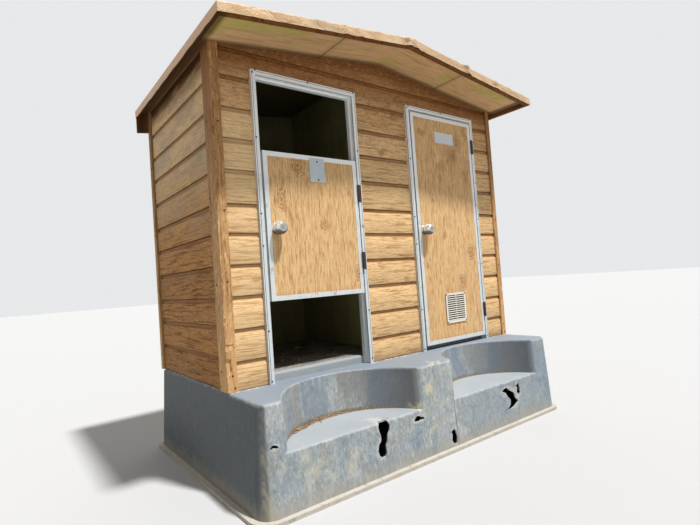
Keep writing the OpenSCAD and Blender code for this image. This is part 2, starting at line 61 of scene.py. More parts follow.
def settle(piece):  # place, turn and size go into the mesh
    selectOnly(piece)
    bpy.ops.object.transform_apply(location=True, rotation=True, scale=True)


def addBlock(name, low, high):
    clearSelection()
    middle = [(a + b) / 2 for a, b in zip(low, high)]
    bpy.ops.mesh.primitive_cube_add(size=1, location=middle)
    piece = bpy.context.active_object
    piece.scale = [b - a for a, b in zip(low, high)]
    piece.name = name
    settle(piece)
    return piece


nearby = 0.0005  # a point this close to a line or a face counts as on it


def pick(piece, kind, test):  # leaves the piece in edit mode with its parts picked by place and direction
    selectOnly(piece)
    bpy.ops.object.mode_set(mode="EDIT")
    bpy.ops.mesh.select_mode(type=kind)
    bpy.ops.mesh.select_all(action="DESELECT")
    bpy.ops.object.mode_set(mode="OBJECT")
    mesh = piece.data
    for part in {"VERT": mesh.vertices, "EDGE": mesh.edges, "FACE": mesh.polygons}[kind]:
        if kind == "VERT":
            part.select = test(part.co)
        elif kind == "EDGE":
            a, b = (mesh.vertices[i].co for i in part.vertices)
            part.select = test((a + b) / 2, (b - a).normalized())
        else:
            part.select = test(part.center, part.normal)
    bpy.ops.object.mode_set(mode="EDIT")


def shape(piece, kind, test, tool, **settings):
    pick(piece, kind, test)
    tool(**settings)
    bpy.ops.object.mode_set(mode="OBJECT")


def nudge(piece, kind, test, *way):
    shape(piece, kind, test, bpy.ops.transform.translate, value=way)


def bevelEdges(piece, test, size, segments=1):
    shape(piece, "EDGE", test, bpy.ops.mesh.bevel, offset=size, segments=segments, affect="EDGES")


def edgesAlong(axis):
    return lambda middle, direction: abs(getattr(direction, axis)) > 0.9


def facesUp(center, normal):
    return normal.z > 0.9


def markVertices(piece, name, test):  # a vertex group of the points that pass the test
    group = piece.vertex_groups.new(name=name)
    piece.vertex_groups.active_index = group.index
    shape(piece, "VERT", test, bpy.ops.object.vertex_group_assign)


def cutAway(piece, point, normal):  # removes what lies on the normal's side and closes the cut
    selectOnly(piece)
    bpy.ops.object.mode_set(mode="EDIT")
    bpy.ops.mesh.select_all(action="SELECT")
    bpy.ops.mesh.bisect(plane_co=point, plane_no=normal, use_fill=True, clear_outer=True, clear_inner=False)
    bpy.ops.object.mode_set(mode="OBJECT")


def addModifier(piece, kind, **settings):
    modifier = piece.modifiers.new(kind.title(), kind)
    for key, value in settings.items():
        setattr(modifier, key, value)
    selectOnly(piece)
    bpy.ops.object.modifier_apply(modifier=modifier.name)


def copyOf(piece, name, placing):
    twin = piece.copy()
    twin.data = piece.data.copy()
    twin.name = name
    bpy.context.collection.objects.link(twin)
    twin.data.transform(placing)
    return twin


def joinAll(name, pieces):
    selectOnly(*pieces)
    if len(pieces) > 1:
        bpy.ops.object.join()
    pieces[0].name = name
    return pieces[0]


def smooth(piece, angle=35):
    selectOnly(piece)
    bpy.ops.object.shade_smooth_by_angle(angle=math.radians(angle))


def dress(piece, body, slot, material, *stoodFor):
    settle(piece)
    piece.data.materials.clear()
    piece.data.materials.append(material)
    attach(piece, body)
    if stoodFor:
        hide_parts(*stoodFor)
    return piece


def corners(node):
    low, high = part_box(node)
    return Vector(low), Vector(high)


def tint(code):  # a colour as it is seen, written as on a screen, made linear
    parts = [int(code[i:i + 2], 16) / 255 for i in (0, 2, 4)]
    return tuple(c / 12.92 if c <= 0.04045 else ((c + 0.055) / 1.055) ** 2.4 for c in parts) + (1.0,)


desk = {}  # the material and the node tree that are being made


class Value:  # a socket to reckon with: each sum puts a Math node on the desk
    def __init__(self, socket):
        self.socket = socket

    def __add__(self, other):
        return calc("ADD", self, other)

    def __sub__(self, other):
        return calc("SUBTRACT", self, other)

    def __rsub__(self, other):
        return calc("SUBTRACT", other, self)

    def __mul__(self, other):
        return calc("MULTIPLY", self, other)

    def __truediv__(self, other):
        return calc("DIVIDE", self, other)

    def __abs__(self):
        return calc("ABSOLUTE", self)


class Coat:  # a colour that paints are laid over, each where all its masks are
    def __init__(self, color):
        self.color = color

    def __call__(self, paint, *masks):  # a mask written (value, low, high) is a smooth step
        factor, *others = [between(*mask) if isinstance(mask, tuple) else mask for mask in masks]
        for mask in others:
            factor = calc("MULTIPLY", factor, mask)
        self.color = mixColor(factor, self.color, paint)


def feed(socket, value):
    source = getattr(value, "socket", value)
    if isinstance(source, bpy.types.NodeSocket):
        desk["tree"].links.new(source, socket)
    else:
        socket.default_value = tint(value) if isinstance(value, str) else value


def put(kind, options=None, **sockets):
    node = desk["tree"].nodes.new(kind)
    for key, value in (options or {}).items():
        setattr(node, key, value)
    for key, value in sockets.items():
        feed(node.inputs[key.replace("_", " ")], value)
    return node


def calc(operation, *values, kind="ShaderNodeMath", **options):
    node = put(kind, {"operation": operation, **options})
    for socket, value in zip(node.inputs, values):
        feed(socket, value)
    return Value(node.outputs["Value" if operation == "LENGTH" else 0])


def vectorCalc(operation, *values):
    return calc(operation, *values, kind="ShaderNodeVectorMath")


def between(value, low, high, start=0.0, end=1.0):  # smooth step from start to end
    return Value(put("ShaderNodeMapRange", {"interpolation_type": "SMOOTHSTEP"},
                     Value=value, From_Min=low, From_Max=high, To_Min=start, To_Max=end).outputs[0])


def mixColor(factor, first, second, mode="MIX"):
    node = put("ShaderNodeMix", {"data_type": "RGBA", "blend_type": mode})
    for number, value in zip((0, 6, 7), (factor, first, second)):  # the sockets of a mix of colours
        feed(node.inputs[number], value)
    return Value(node.outputs[2])


def axes(vector):
    return [Value(socket) for socket in put("ShaderNodeSeparateXYZ", Vector=vector).outputs]


def facingAxes():  # which way the surface faces
    return axes(put("ShaderNodeNewGeometry").outputs["Normal"])


def vectorOf(x, y, z):
    return Value(put("ShaderNodeCombineXYZ", X=x, Y=y, Z=z).outputs[0])


def stretched(vector, scale, shift=(0, 0, 0)):
    return Value(put("ShaderNodeMapping", Vector=vector, Scale=scale, Location=shift).outputs[0])


def noise(vector, scale, detail=4.0, rough=0.55, distortion=0.0, shift=(0, 0, 0)):
    if isinstance(scale, tuple):
        vector, scale = stretched(vector, scale, shift), 1.0
    return Value(put("ShaderNodeTexNoise", Vector=vector, Scale=scale, Detail=detail, Roughness=rough,
                     Distortion=distortion).outputs["Fac"])


def nearest(vector, marks):  # 0 in the middle of a mark and 1 on its edge, for the closest mark
    best = None
    for middle, size in marks:
        away = vectorCalc("LENGTH", vectorCalc("DIVIDE", vectorCalc("SUBTRACT", vector, middle), size))
        best = away if best is None else calc("MINIMUM", best, away)
    return best


def frontMarks(marks):  # given by x, z, half the width and half the height
    return [((x, 0, z), (wide, 1, tall)) for x, z, wide, tall in marks]


def newGroup(name, outputs,
             **inputs):  # a value given as a place, a colour or a number makes a socket of its kind
    group = desk["tree"] = bpy.data.node_groups.new(name, "ShaderNodeTree")
    for label, value in inputs.items():
        kind = "Float" if isinstance(value, float) else "Vector" if len(value) == 3 else "Color"
        socket = group.interface.new_socket(name=label.replace("_", " "), in_out="INPUT",
                                            socket_type="NodeSocket" + kind)
        socket.default_value = value
    for label, kind in outputs.items():
        group.interface.new_socket(name=label, in_out="OUTPUT", socket_type="NodeSocket" + kind)
    given = {socket.name: Value(socket) for socket in put("NodeGroupInput").outputs}
    return group, given, put("NodeGroupOutput").inputs


def useGroup(group, **sockets):
    node = put("ShaderNodeGroup", {"node_tree": group}, **sockets)
    return {socket.name: Value(socket) for socket in node.outputs}


def newMaterial(name):
    material = bpy.data.materials.new(name)
    material.use_nodes = True
    material.node_tree.nodes.clear()
    desk.update(tree=material.node_tree, material=material)
    return Value(put("ShaderNodeTexCoord").outputs["Object"])


def surface(coat, rough, height=None, bump=0.3, depth=0.002, metallic=0.0, **plain):  # finishes the material
    shader = put("ShaderNodeBsdfPrincipled", Base_Color=coat.color, Roughness=rough, Metallic=metallic,
                 **plain)
    if height is not None:
        relief = put("ShaderNodeBump", Height=height, Strength=bump, Distance=depth)
        feed(shader.inputs["Normal"], relief.outputs[0])
    feed(put("ShaderNodeOutputMaterial").inputs["Surface"], shader.outputs[0])
    return desk["material"]


origin, white, black = (0, 0, 0), (1, 1, 1, 1), (0, 0, 0, 1)


def buildWoodGrain():  # X runs along the grain, Y across it
    group, given, result = newGroup("woodGrain", {"Color": "Color", "Height": "Float", "Roughness": "Float"},
                                    Vector=origin, Pale=white, Deep=black, Knot_Color=black, Shift=0.0,
                                    Tone=0.5,
                                    Contrast=1.0, Knots=0.05, Fineness=1.0)
    along, across, depth = axes(given["Vector"])
    along = given["Shift"] * 3.7 + along
    cells = vectorOf(along * 2.6, across * 7.0, 0.0)
    spots = put("ShaderNodeTexVoronoi", {"voronoi_dimensions": "2D"}, Vector=cells, Scale=1.0,
                Randomness=0.9).outputs
    chance = put("ShaderNodeSeparateColor", Color=spots["Color"]).outputs[0]
    carries = calc("LESS_THAN", chance, given["Knots"])
    wobble = noise(given["Vector"], (30, 60, 30), 2.0)
    distance = (wobble - 0.5) * 0.12 + spots["Distance"]
    core = between(distance, 0.13, 0.04) * carries
    halo = between(distance, 0.5, 0.1) * carries
    # grain lines wander, and bend round the knots
    bend = noise(vectorOf(along * 1.5, across * 8.0, depth), 1.0, 2.0)
    across = bend * 0.05 + (halo * 0.025 + across)

    def lines(alongScale, acrossScale, detail):
        vector = vectorOf(along * alongScale, across * acrossScale, depth * (acrossScale / 4))
        return noise(vector, given["Fineness"], detail, 0.62)

    fine, middle, broad = lines(11.0, 190.0, 3.0), lines(3.8, 74.0, 4.0), lines(1.3, 15.0, 3.0)
    dashes = between(fine, 0.51, 0.64) * 0.45 + between(middle, 0.5, 0.64) * 0.6
    dashes = calc("MULTIPLY", dashes, given["Contrast"], use_clamp=True)
    coat = Coat(mixColor(dashes, given["Pale"], given["Deep"]))
    coat(given["Deep"], halo, 0.4)
    coat(given["Knot Color"], core, 0.85)
    light = (given["Tone"] - 0.5) * 0.2 + ((broad - 0.5) * 0.34 + 1.0)
    coat.color = mixColor(1.0, coat.color, vectorOf(light, light, light), "MULTIPLY")
    feed(result["Color"], coat.color)
    feed(result["Height"], 1.0 - (dashes * 0.7 + core * 0.3))
    feed(result["Roughness"], dashes * 0.15 + 0.5)
    return group


def buildPatches():  # broken patches, as of dirt or bleaching
    group, given, result = newGroup("patches", {"Mask": "Float"}, Vector=origin, Scale=3.0, Cover=0.5,
                                    Edge=0.1,
                                    Break=0.3)
    large = noise(given["Vector"], given["Scale"], 5.0, 0.6)
    small = noise(given["Vector"], 90.0, 3.0, 0.7)
    over = (small - 0.5) * given["Break"] + large - (1.0 - given["Cover"])
    feed(result["Mask"], calc("DIVIDE", over, given["Edge"], use_clamp=True))
    return group


def buildWarp():  # shakes a place about, so that what is drawn round it gets a ragged edge
    group, given, result = newGroup("warp", {"Vector": "Vector"}, Vector=origin, Grain=20.0, Amount=0.02)
    grain = put("ShaderNodeTexNoise", Vector=given["Vector"], Scale=given["Grain"], Detail=4.0,
                Roughness=0.62)
    away = vectorCalc("SUBTRACT", grain.outputs["Color"], (0.5, 0.5, 0.5))
    size = vectorOf(given["Amount"], given["Amount"], given["Amount"])
    feed(result["Vector"], vectorCalc("MULTIPLY_ADD", away, size, given["Vector"]))
    return group


def buildRuns():  # vertical runs of water and dust, along Z
    group, given, result = newGroup("runs", {"Mask": "Float"}, Vector=origin, Across=30.0, Down=1.6,
                                    Cover=0.5)
    x, y, z = axes(given["Vector"])
    side = (y * 0.83 + x) * given["Across"]
    down = z * given["Down"]
    wide = noise(vectorOf(side, 0.0, down), 1.0, 4.0, 0.6)
    thin = noise(vectorOf(side * 4.5, 0.0, down), 1.0, 3.0, 0.6)
    over = wide * 0.65 + thin * 0.35 - (1.0 - given["Cover"])
    feed(result["Mask"], calc("DIVIDE", over, 0.16, use_clamp=True))
    return group


def buildKnots():  # wobbly rings, a darker fill and a heart round the places whose distance is given
    group, given, result = newGroup("knots", {"Color": "Color"}, Vector=origin, Color=white, Distance=9.0,
                                    Ring_Color=black, Fill_Color=black, Strength=0.6)
    broken = noise(given["Vector"], 55.0, 3.0, 0.6)
    rings = None
    for at, width in ((1.0, 0.17), (0.62, 0.13), (1.45, 0.12)):
        ring = between(abs(given["Distance"] - at), width, width * 0.2)
        rings = ring if rings is None else calc("MAXIMUM", rings, ring)
    rings = rings * between(broken, 0.36, 0.56)
    coat = Coat(given["Color"])
    coat(given["Fill Color"], (given["Distance"], 1.25, 0.85), 0.35)
    coat(given["Ring Color"], rings, given["Strength"])
    coat(given["Ring Color"], (given["Distance"], 0.34, 0.16), given["Strength"])
    feed(result["Color"], coat.color)
    return group


woodGrain = buildWoodGrain()
patches = buildPatches()
warp = buildWarp()
runs = buildRuns()
knots = buildKnots()
print("shared effects built")


def grained(vector, pale, deep, knot, knots=0.0, **others):
    return useGroup(woodGrain, Vector=vector, Pale=pale, Deep=deep, Knot_Color=knot, Knots=knots, **others)


def patchy(vector, scale, cover, edge, ragged):
    return useGroup(patches, Vector=vector, Scale=scale, Cover=cover, Edge=edge, Break=ragged)["Mask"]


def runDown(vector, across, down, cover):
    return useGroup(runs, Vector=vector, Across=across, Down=down, Cover=cover)["Mask"]


def ringed(vector, color, distance, ring, fill, strength):
    return useGroup(knots, Vector=vector, Color=color, Distance=distance, Ring_Color=ring, Fill_Color=fill,
                    Strength=strength)["Color"]


def shake(vector, grain, amount):
    return useGroup(warp, Vector=vector, Grain=grain, Amount=amount)["Vector"]


boardLines = {  # heights of the lower edges of the siding boards, from the foot of the wall to above its top
    "front": [0.492, 0.628, 0.782, 0.941, 1.095, 1.250, 1.395, 1.565, 1.722, 1.877, 2.036, 2.180, 2.330],
    "side": [0.492, 0.652, 0.802, 0.936, 1.094, 1.252, 1.398, 1.560, 1.721, 1.865, 2.020, 2.170, 2.330],
}
roofRidge = 2.311
roofSlope = 0.129 / 1.1


def roofHeight(x):  # underside of the roof
    return roofRidge - abs(x) * roofSlope


def rowOf(height, lines):  # the row's own tone and number, and the heights of its two edges
    last = random.random()
    tone, number, foot, crown = last, 0.0, lines[0], lines[1]
    for low, line, above in zip(lines, lines[1:], lines[2:]):
        passed = calc("GREATER_THAN", height, line)
        fresh = random.random()
        tone = passed * (fresh - last) + tone
        number = passed + number
        foot = passed * (line - low) + foot
        crown = passed * (above - line) + crown
        last = fresh
    return (tone, number, height - foot, crown - height)


sidingFinish = {
    "front": {"order": "xzy", "lines": "front", "pale": "EFC894", "deep": "A67442", "grey": 0.12, "knots": 0,
              "marks": [((0.112, 0, 2.001), 0.020), ((-0.015, 0, 1.754), 0.014), ((-0.083, 0, 1.060), 0.015),
                        ((0.125, 0, 0.964), 0.016), ((0.147, 0, 2.120), 0.020), ((-0.916, 0, 1.751), 0.018),
                        ((-0.913, 0, 1.022), 0.014), ((0.95, 0, 1.44), 0.013)]},
    # the side boards are darker and browner than the front: painted shade, as on a side turned from the sun
    "side": {"order": "yzx", "lines": "side", "pale": "B47D3E", "deep": "522F12", "grey": 0.22, "knots": 0.05,
             "marks": [((0, 0.096, 0.819), 0.012), ((0, 0.011, 0.807), 0.010), ((0, 0.016, 1.025), 0.012),
                       ((0, -0.142, 0.651), 0.012), ((0, 0.323, 0.607), 0.012)]},
    "back": {"order": "xzy", "lines": "side", "pale": "D8AC7C", "deep": "8E6038", "grey": 0.4, "knots": 0.05,
             "marks": [((0.42, 0, 1.30), 0.015), ((-0.60, 0, 0.86), 0.016), ((-0.20, 0, 1.66), 0.014)]},
}


def makeSiding(kind):
    look = sidingFinish[kind]
    place = newMaterial("siding" + kind.title())
    x, y, z = parts = axes(place)
    vector = vectorOf(*(parts["xyz".index(axis)] for axis in look["order"]))
    tone, number, rise, left = rowOf(z, boardLines[look["lines"]])
    flat = vectorOf(0.0, y, z) if kind == "side" else vectorOf(x, 0.0, z)
    marks = [(middle, (size * 1.4, size * 1.4, size)) for middle, size in look["marks"]]
    close = nearest(shake(flat, 24.0, 0.03), marks)
    swell = between(close, 2.4, 0.6)
    along, across, depth = axes(vector)
    bent = vectorOf(along, swell * 0.014 + across, depth)
    wood = grained(bent, look["pale"], look["deep"], "704A2C", look["knots"], Shift=number, Tone=tone)
    coat = Coat(ringed(vector, wood["Color"], close, "7C5230", "B07C4E", 0.5))
    worn = patchy(stretched(vector, (1.0, 3.2, 3.2)), 2.0, 0.5, 0.16, 0.15)
    coat("B0A08A", worn, look["grey"], (z, 0.7, 1.9, 0.25, 1.0))
    if kind == "side":  # bleached and paler towards the top; lower down the side keeps its darker colours, painted shade
        coat("E2C294", (z, 1.15, 1.9), 0.85)
        cool = patchy(stretched(vector, (1.0, 2.2, 2.2)), 3.1, 0.5, 0.12, 0.1)
        coat("A6927E", cool, (z, 1.0, 1.8), 0.5)
        moss = patchy(stretched(vector, (1.3, 2.6, 2.6), (5, 3, 1)), 2.6, 0.44, 0.12, 0.1)
        coat("968E68", moss, (z, 1.2, 1.7), 0.5)
        coat("DEB280", (x, 1.0, 1.05), 0.4)  # painted light: the far side paler than the near one
    dashes = noise(vector, (20.0, 210.0, 210.0), 3.0, 0.65)
    coat("6E4626", (dashes, 0.56, 0.66), 0.5)
    coat("FADCB0", (dashes, 0.43, 0.34), 0.4 if kind == "front" else 0.25)
    # the cove under each lip is browner, painted shade; and each board is darker along its lower edge
    coat("966438", (left, 0.025, 0.018), 0.6)
    coat("603C20", (rise, 0.007, 0.0025), 0.6)
    coat("966A44", (z, 0.56, 0.49), 0.3)
    # the strip right under the roof is dark, stain and painted shade, with a ragged lower edge
    below = abs(x) * -roofSlope + roofRidge - z
    blot = noise(vector, (4.0, 26.0, 26.0), 5.0, 0.65)
    ragged = (blot - 0.5) * 0.17 + below
    coat("7A4E2A", (ragged, 0.15, 0.05), (blot, 0.3, 0.5, 0.6, 1.0), 0.78)
    coat("3E2614", (ragged, 0.08, 0.02), 0.9)
    if kind == "front":  # browner and rougher above the doors; the left end painted paler up high, painted light
        coat("865830", (blot * 0.12 + z, 2.08, 2.19), 0.55)
        flecks = noise(vector, (45.0, 120.0, 120.0), 4.0, 0.7)
        coat("5C381C", (flecks, 0.53, 0.61), (z, 1.45, 2.15), 0.62)
        coat("C49868", (flecks, 0.45, 0.37), (z, 1.85, 2.2), 0.6)
        coat("FFE2B0", (x, -0.82, -0.9), (z, 1.35, 1.6, 0.4, 1.0), (z, 1.9, 1.85), 0.34)
        coat("966236", (z, 1.86, 1.9), 0.34)
    specks = noise(place, 260.0, 2.0)
    coat("5A3E26", (specks, 0.7, 0.78), 0.3)
    return surface(coat, wood["Roughness"], wood["Height"], bump=0.5, depth=0.0014, Specular_IOR_Level=0.08)


def makeCornerPine():  # planed boards that stand upright
    place = newMaterial("cornerPine")
    x, y, z = axes(place)
    vector = vectorOf(z, x + y, x - y)
    wood = grained(vector, "EEC28C", "9E6A38", "966840")
    worn = patchy(stretched(vector, (1.0, 5.0, 5.0)), 3.0, 0.5, 0.2, 0.2)
    coat = Coat(wood["Color"])
    coat("98704A", worn, 0.22)
    rough = noise(place, (150, 150, 40), 4.0, 0.7)
    coat("704828", (rough, 0.55, 0.64), 0.55)
    coat("FAD8A8", (rough, 0.44, 0.36), 0.35)
    # dark at the head, stain and painted shade, stronger on the side face than the front; and a splintered
    # arris
    blot = noise(place, (30, 30, 7), 5.0, 0.65)
    head = (blot - 0.5) * 0.5 + z
    facing = facingAxes()
    coat("7C5026", (head, 1.2, 1.85), (facing[1], -0.3, -0.7, 0.76, 0.42))
    edge = calc("MAXIMUM", abs(x), abs(y) + 0.709)
    fray = (noise(place, (60, 60, 22), 4.0, 0.7) - 0.5) * 0.02 + edge
    coat("8C5E36", (fray, 1.0965, 1.1005), 0.5)
    coat("EEBE82", (head, 0.95, 0.55), 0.4)
    return surface(coat, wood["Roughness"], wood["Height"], bump=0.5, depth=0.0014, Specular_IOR_Level=0.08)


doorKnots = {  # x, z and radius
    "left": [(-0.635, 1.618, 0.030), (-0.753, 1.423, 0.027), (-0.487, 1.291, 0.019), (-0.303, 1.485, 0.013),
             (-0.272, 1.013, 0.025), (-0.700, 1.335, 0.012), (-0.735, 1.385, 0.013)],
    "right": [(0.310, 1.933, 0.010), (0.649, 1.804, 0.021), (0.489, 1.629, 0.016), (0.492, 1.236, 0.019),
              (0.763, 1.119, 0.026), (0.309, 1.032, 0.009), (0.651, 0.910, 0.027), (0.251, 0.662, 0.014),
              (0.400, 1.470, 0.009)],
}
smudges = [  # brown spots on the full door: x, z, half the width and half the height
    (0.62, 1.80, 0.09, 0.07), (0.70, 1.90, 0.05, 0.06), (0.50, 1.71, 0.05, 0.05), (0.76, 1.66, 0.04, 0.11),
    (0.35, 1.94, 0.05, 0.03), (0.79, 1.99, 0.03, 0.05)]


def makeDoorPly(side):
    place = newMaterial("doorPly" + side.title())
    x, y, z = axes(place)
    flat = vectorOf(x, 0.0, z)
    oval = [(knotX, knotZ, size, size * 1.45) for knotX, knotZ, size in doorKnots[side]]
    close = nearest(shake(flat, 22.0, 0.045), frontMarks(oval))
    near = between(close, 2.6, 0.4)
    vector = vectorOf(z, near * 0.02 + x, 0.0)
    wood = grained(vector, "E6BE88", "BC8A54", "96683E", Contrast=0.8, Fineness=1.45)
    dashes = noise(place, (270.0, 1.0, 17.0), 3.0)
    coat = Coat(wood["Color"])
    coat("966436", (dashes, 0.53, 0.62), 0.6)
    coat("F6D29E", (dashes, 0.45, 0.34), 0.55)
    pores = noise(place, (240.0, 1.0, 90.0), 3.0, 0.7)
    coat("8C5E36", (pores, 0.56, 0.66), (z, 1.2, 1.9, 0.3, 0.6))
    coat.color = ringed(flat, coat.color, close, "96683E", "B68250", 0.8)
    stain = patchy(stretched(place, (1.0, 1.0, 0.5)), 3.4, 0.46, 0.2, 0.12)
    coat("C48A54", stain, 0.24)
    if side == "right":  # brown smudges high on the full door
        smudge = nearest(shake(flat, 14.0, 0.16), frontMarks(smudges))
        coat("966036", (smudge, 1.3, 0.3), (pores, 0.4, 0.56, 0.35, 1.0), 0.5)
    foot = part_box(side + "_door_panel")[0][2]
    coat("B07E50", (z, foot + 0.05, foot + 0.005), 0.4)
    return surface(coat, wood["Roughness"], wood["Height"], bump=0.3, depth=0.0009, Specular_IOR_Level=0.35)


def makeLining():
    place = newMaterial("liningPly")
    x, y, z = axes(place)
    vector = vectorOf(z, x + y, x - y)
    wood = grained(vector, "9E9662", "787048", "34281A", 0.05, Contrast=0.7, Fineness=0.9)
    damp = patchy(place, 1.8, 0.52, 0.25, 0.2)
    coat = Coat(wood["Color"])
    coat("4E4A2C", damp, 0.5)
    # darker towards the back; a painted pool of light low near the doorway
    coat("4E4832", (y, -0.1, 0.4), 0.5)
    coat("CEC882", (z, 1.75, 0.9), (y, 0.15, -0.2), 0.6)
    return surface(coat, 0.75, wood["Height"], bump=0.3, depth=0.001)


soffitMarks = {
    "algae": [((-0.95, -0.60, 2.2), (0.17, 0.07, 1.0)), ((-0.76, -0.605, 2.2), (0.15, 0.05, 1.0)),
              ((-1.10, -0.54, 2.2), (0.07, 0.10, 1.0)), ((0.03, -0.46, 2.3), (0.08, 0.05, 1.0)),
              ((0.44, -0.57, 2.26), (0.05, 0.08, 1.0)), ((0.80, -0.59, 2.2), (0.17, 0.05, 1.0)),
              ((0.93, -0.61, 2.2), (0.10, 0.05, 1.0))],
    "joints": (-0.435, 0.50),
}


def makeSoffit():
    place = newMaterial("soffitPly")
    x, y, z = axes(place)
    wood = grained(place, "DAB384", "A88057", "8C6644", Contrast=0.8)
    close = nearest(shake(place, 13.0, 0.16), soffitMarks["algae"])
    green = between(close, 1.15, 0.5) * between(noise(place, 24.0, 4.0, 0.65), 0.38, 0.54, 0.35, 1.0)
    faint = patchy(place, 4.5, 0.46, 0.2, 0.35)
    coat = Coat(wood["Color"])
    coat("BAAC70", faint, 0.3)
    coat("BAB260", green, 0.85)
    for jointX in soffitMarks["joints"]:  # a dark line between two sheets, with a stained margin
        off = abs(noise(place, 9.0) * -0.012 + x - (jointX - 0.006))
        coat("9C8454", (off, 0.05, 0.0), 0.35)
        coat("2C2016", (off, 0.004, 0.0012))
    coat("684C2E", (faint * 0.012 + y, -0.43, -0.39), 0.8)
    coat("543820", (faint * 0.01 + abs(x), 1.085, 1.115), 0.75)
    coat("4A462E", (y, -0.345, -0.335), (abs(x), 1.06, 1.05), 0.85)
    return surface(coat, 0.7, wood["Height"], bump=0.2, depth=0.001, Specular_IOR_Level=0.08)


def makeStained():  # fascia and eave boards, seen from below
    place = newMaterial("stainedPine")
    x, y, z = axes(place)
    vector = vectorOf(x + y, z, x - y)
    wood = grained(vector, "80542E", "54341C", "362214", 0.04, Contrast=0.9, Fineness=1.2)
    damp = patchy(stretched(place, (1.0, 1.0, 3.0)), 4.0, 0.5, 0.2, 0.3)
    coat = Coat(wood["Color"])
    coat("54341C", damp, 0.5)
    # painted shade: darker low on the outer left end, and darker on the back boards
    coat("382616", (x, -1.1, -1.14), (z, 2.2, 2.17), 0.8)
    coat("5C3C22", (y, 0.6, 0.7), 0.5)
    return surface(coat, 0.65, wood["Height"], bump=0.4, depth=0.0012, Specular_IOR_Level=0.08)


def makeRoofFilm():  # plastic sheet with a printed wood look
    place = newMaterial("roofFilm")
    x, y, z = axes(place)
    vector = vectorOf(x, y + z, z)
    wood = grained(vector, "D8B48A", "BC8E60", "AA7C52", Contrast=0.7, Fineness=0.55)
    faded = patchy(stretched(place, (1.0, 1.6, 2.0)), 3.2, 0.54, 0.22, 0.25)
    coat = Coat(wood["Color"])
    coat("D6C4AC", faded, (x, 0.5, -0.4, 0.25, 0.75))
    # a few long creases, and fine crumpling between them
    soft = noise(place, (5.0, 4.0, 9.0), 1.0, 0.4, 0.3)
    fold = between(abs(soft - 0.5), 0.016, 0.0)
    small = noise(place, (60.0, 34.0, 50.0), 4.0, 0.6, 0.8)
    # painted shade along the creases
    coat("A87A50", fold, 0.14)
    coat("AA7E54", (small, 0.56, 0.68), 0.4)
    coat("ECD0AA", (small, 0.44, 0.34), 0.4)
    coat("CC9866", (abs(x), 1.1675, 1.169), 0.7)
    coat("AA8864", (facingAxes()[2], 0.6, 0.9), 0.6)  # darker where it faces up, painted shade against the strong light from above
    return surface(coat, 0.45, fold * -0.5 + small, bump=0.6, depth=0.006, Coat_Weight=0.08,
                   Coat_Roughness=0.35)


def makeAluminium():
    place = newMaterial("frameAluminium")
    brush = noise(place, (500.0, 500.0, 9.0), 2.0)
    brushAcross = noise(place, (9.0, 500.0, 500.0), 2.0)
    chalk = patchy(place, 7.0, 0.5, 0.25, 0.4)
    grime = patchy(place, 21.0, 0.4, 0.12, 0.7)
    coat = Coat(mixColor(brush, "CCD4D6", "E6EAE9"))
    coat("ECEEEC", chalk, 0.5)
    coat("928E84", grime, 0.5)
    specks = noise(place, 170.0, 2.0)
    coat("6E665C", (specks, 0.66, 0.74), 0.5)
    x, y, z = axes(place)
    coat("FCFEFF", (z, 1.42, 1.6), 0.85)  # painted reflection: paler high up, in the roof's shade
    # painted shade in the grooves, picked by depth
    coat("464848", (y, -0.3938, -0.3922), (y, -0.385, -0.391), 0.85)
    return surface(coat, chalk * 0.15 + 0.45, brush + brushAcross, bump=0.12, depth=0.0004, metallic=0.15)


def makeSteel():
    place = newMaterial("knobSteel")
    fine = noise(place, (380.0, 60.0, 380.0), 3.0)
    dull = patchy(place, 30.0, 0.45, 0.3, 0.4)
    coat = Coat(mixColor(dull, "C4C2BE", "96928C"))
    x, y, z = axes(place)
    facing = facingAxes()
    # painted reflections and shade: bright where it faces left and up, darker facing right, dark facing down
    coat("FAFAF8", (facing[0], -0.1, -0.45), 0.8)
    coat("787064", (facing[0], 0.3, 0.7), 0.7)
    coat("38322C", (facing[2], -0.12, -0.5), 0.85)
    coat("FFFFFD", (facing[2], 0.3, 0.6), 0.85)
    barrels = frontMarks([(-0.787, 1.274, 0.009, 0.009), (0.303, 1.274, 0.009, 0.009)])
    barrel = nearest(vectorOf(x, 0.0, z), barrels)
    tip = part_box("left_door_knob")[0][1]
    front = between(y, tip + 0.009, tip + 0.005)
    coat("3C3836", (barrel, 1.25, 1.1), (barrel, 0.85, 1.0), front, 0.8)
    coat("605C58", (barrel, 0.42, 0.3), front, 0.8)
    return surface(coat, dull * 0.2 + 0.16, fine, bump=0.08, depth=0.0003, metallic=0.75, Coat_Weight=0.6,
                   Coat_Roughness=0.08)


def makeHingeMetal():
    place = newMaterial("hingeLacquer")
    chips = patchy(place, 60.0, 0.34, 0.05, 0.5)
    fine = noise(place, 220.0, 3.0)
    coat = Coat(mixColor(fine, "342620", "4A362A"))
    coat("805638", chips)
    return surface(coat, 0.45, fine, bump=0.2, depth=0.0005, metallic=0.3)


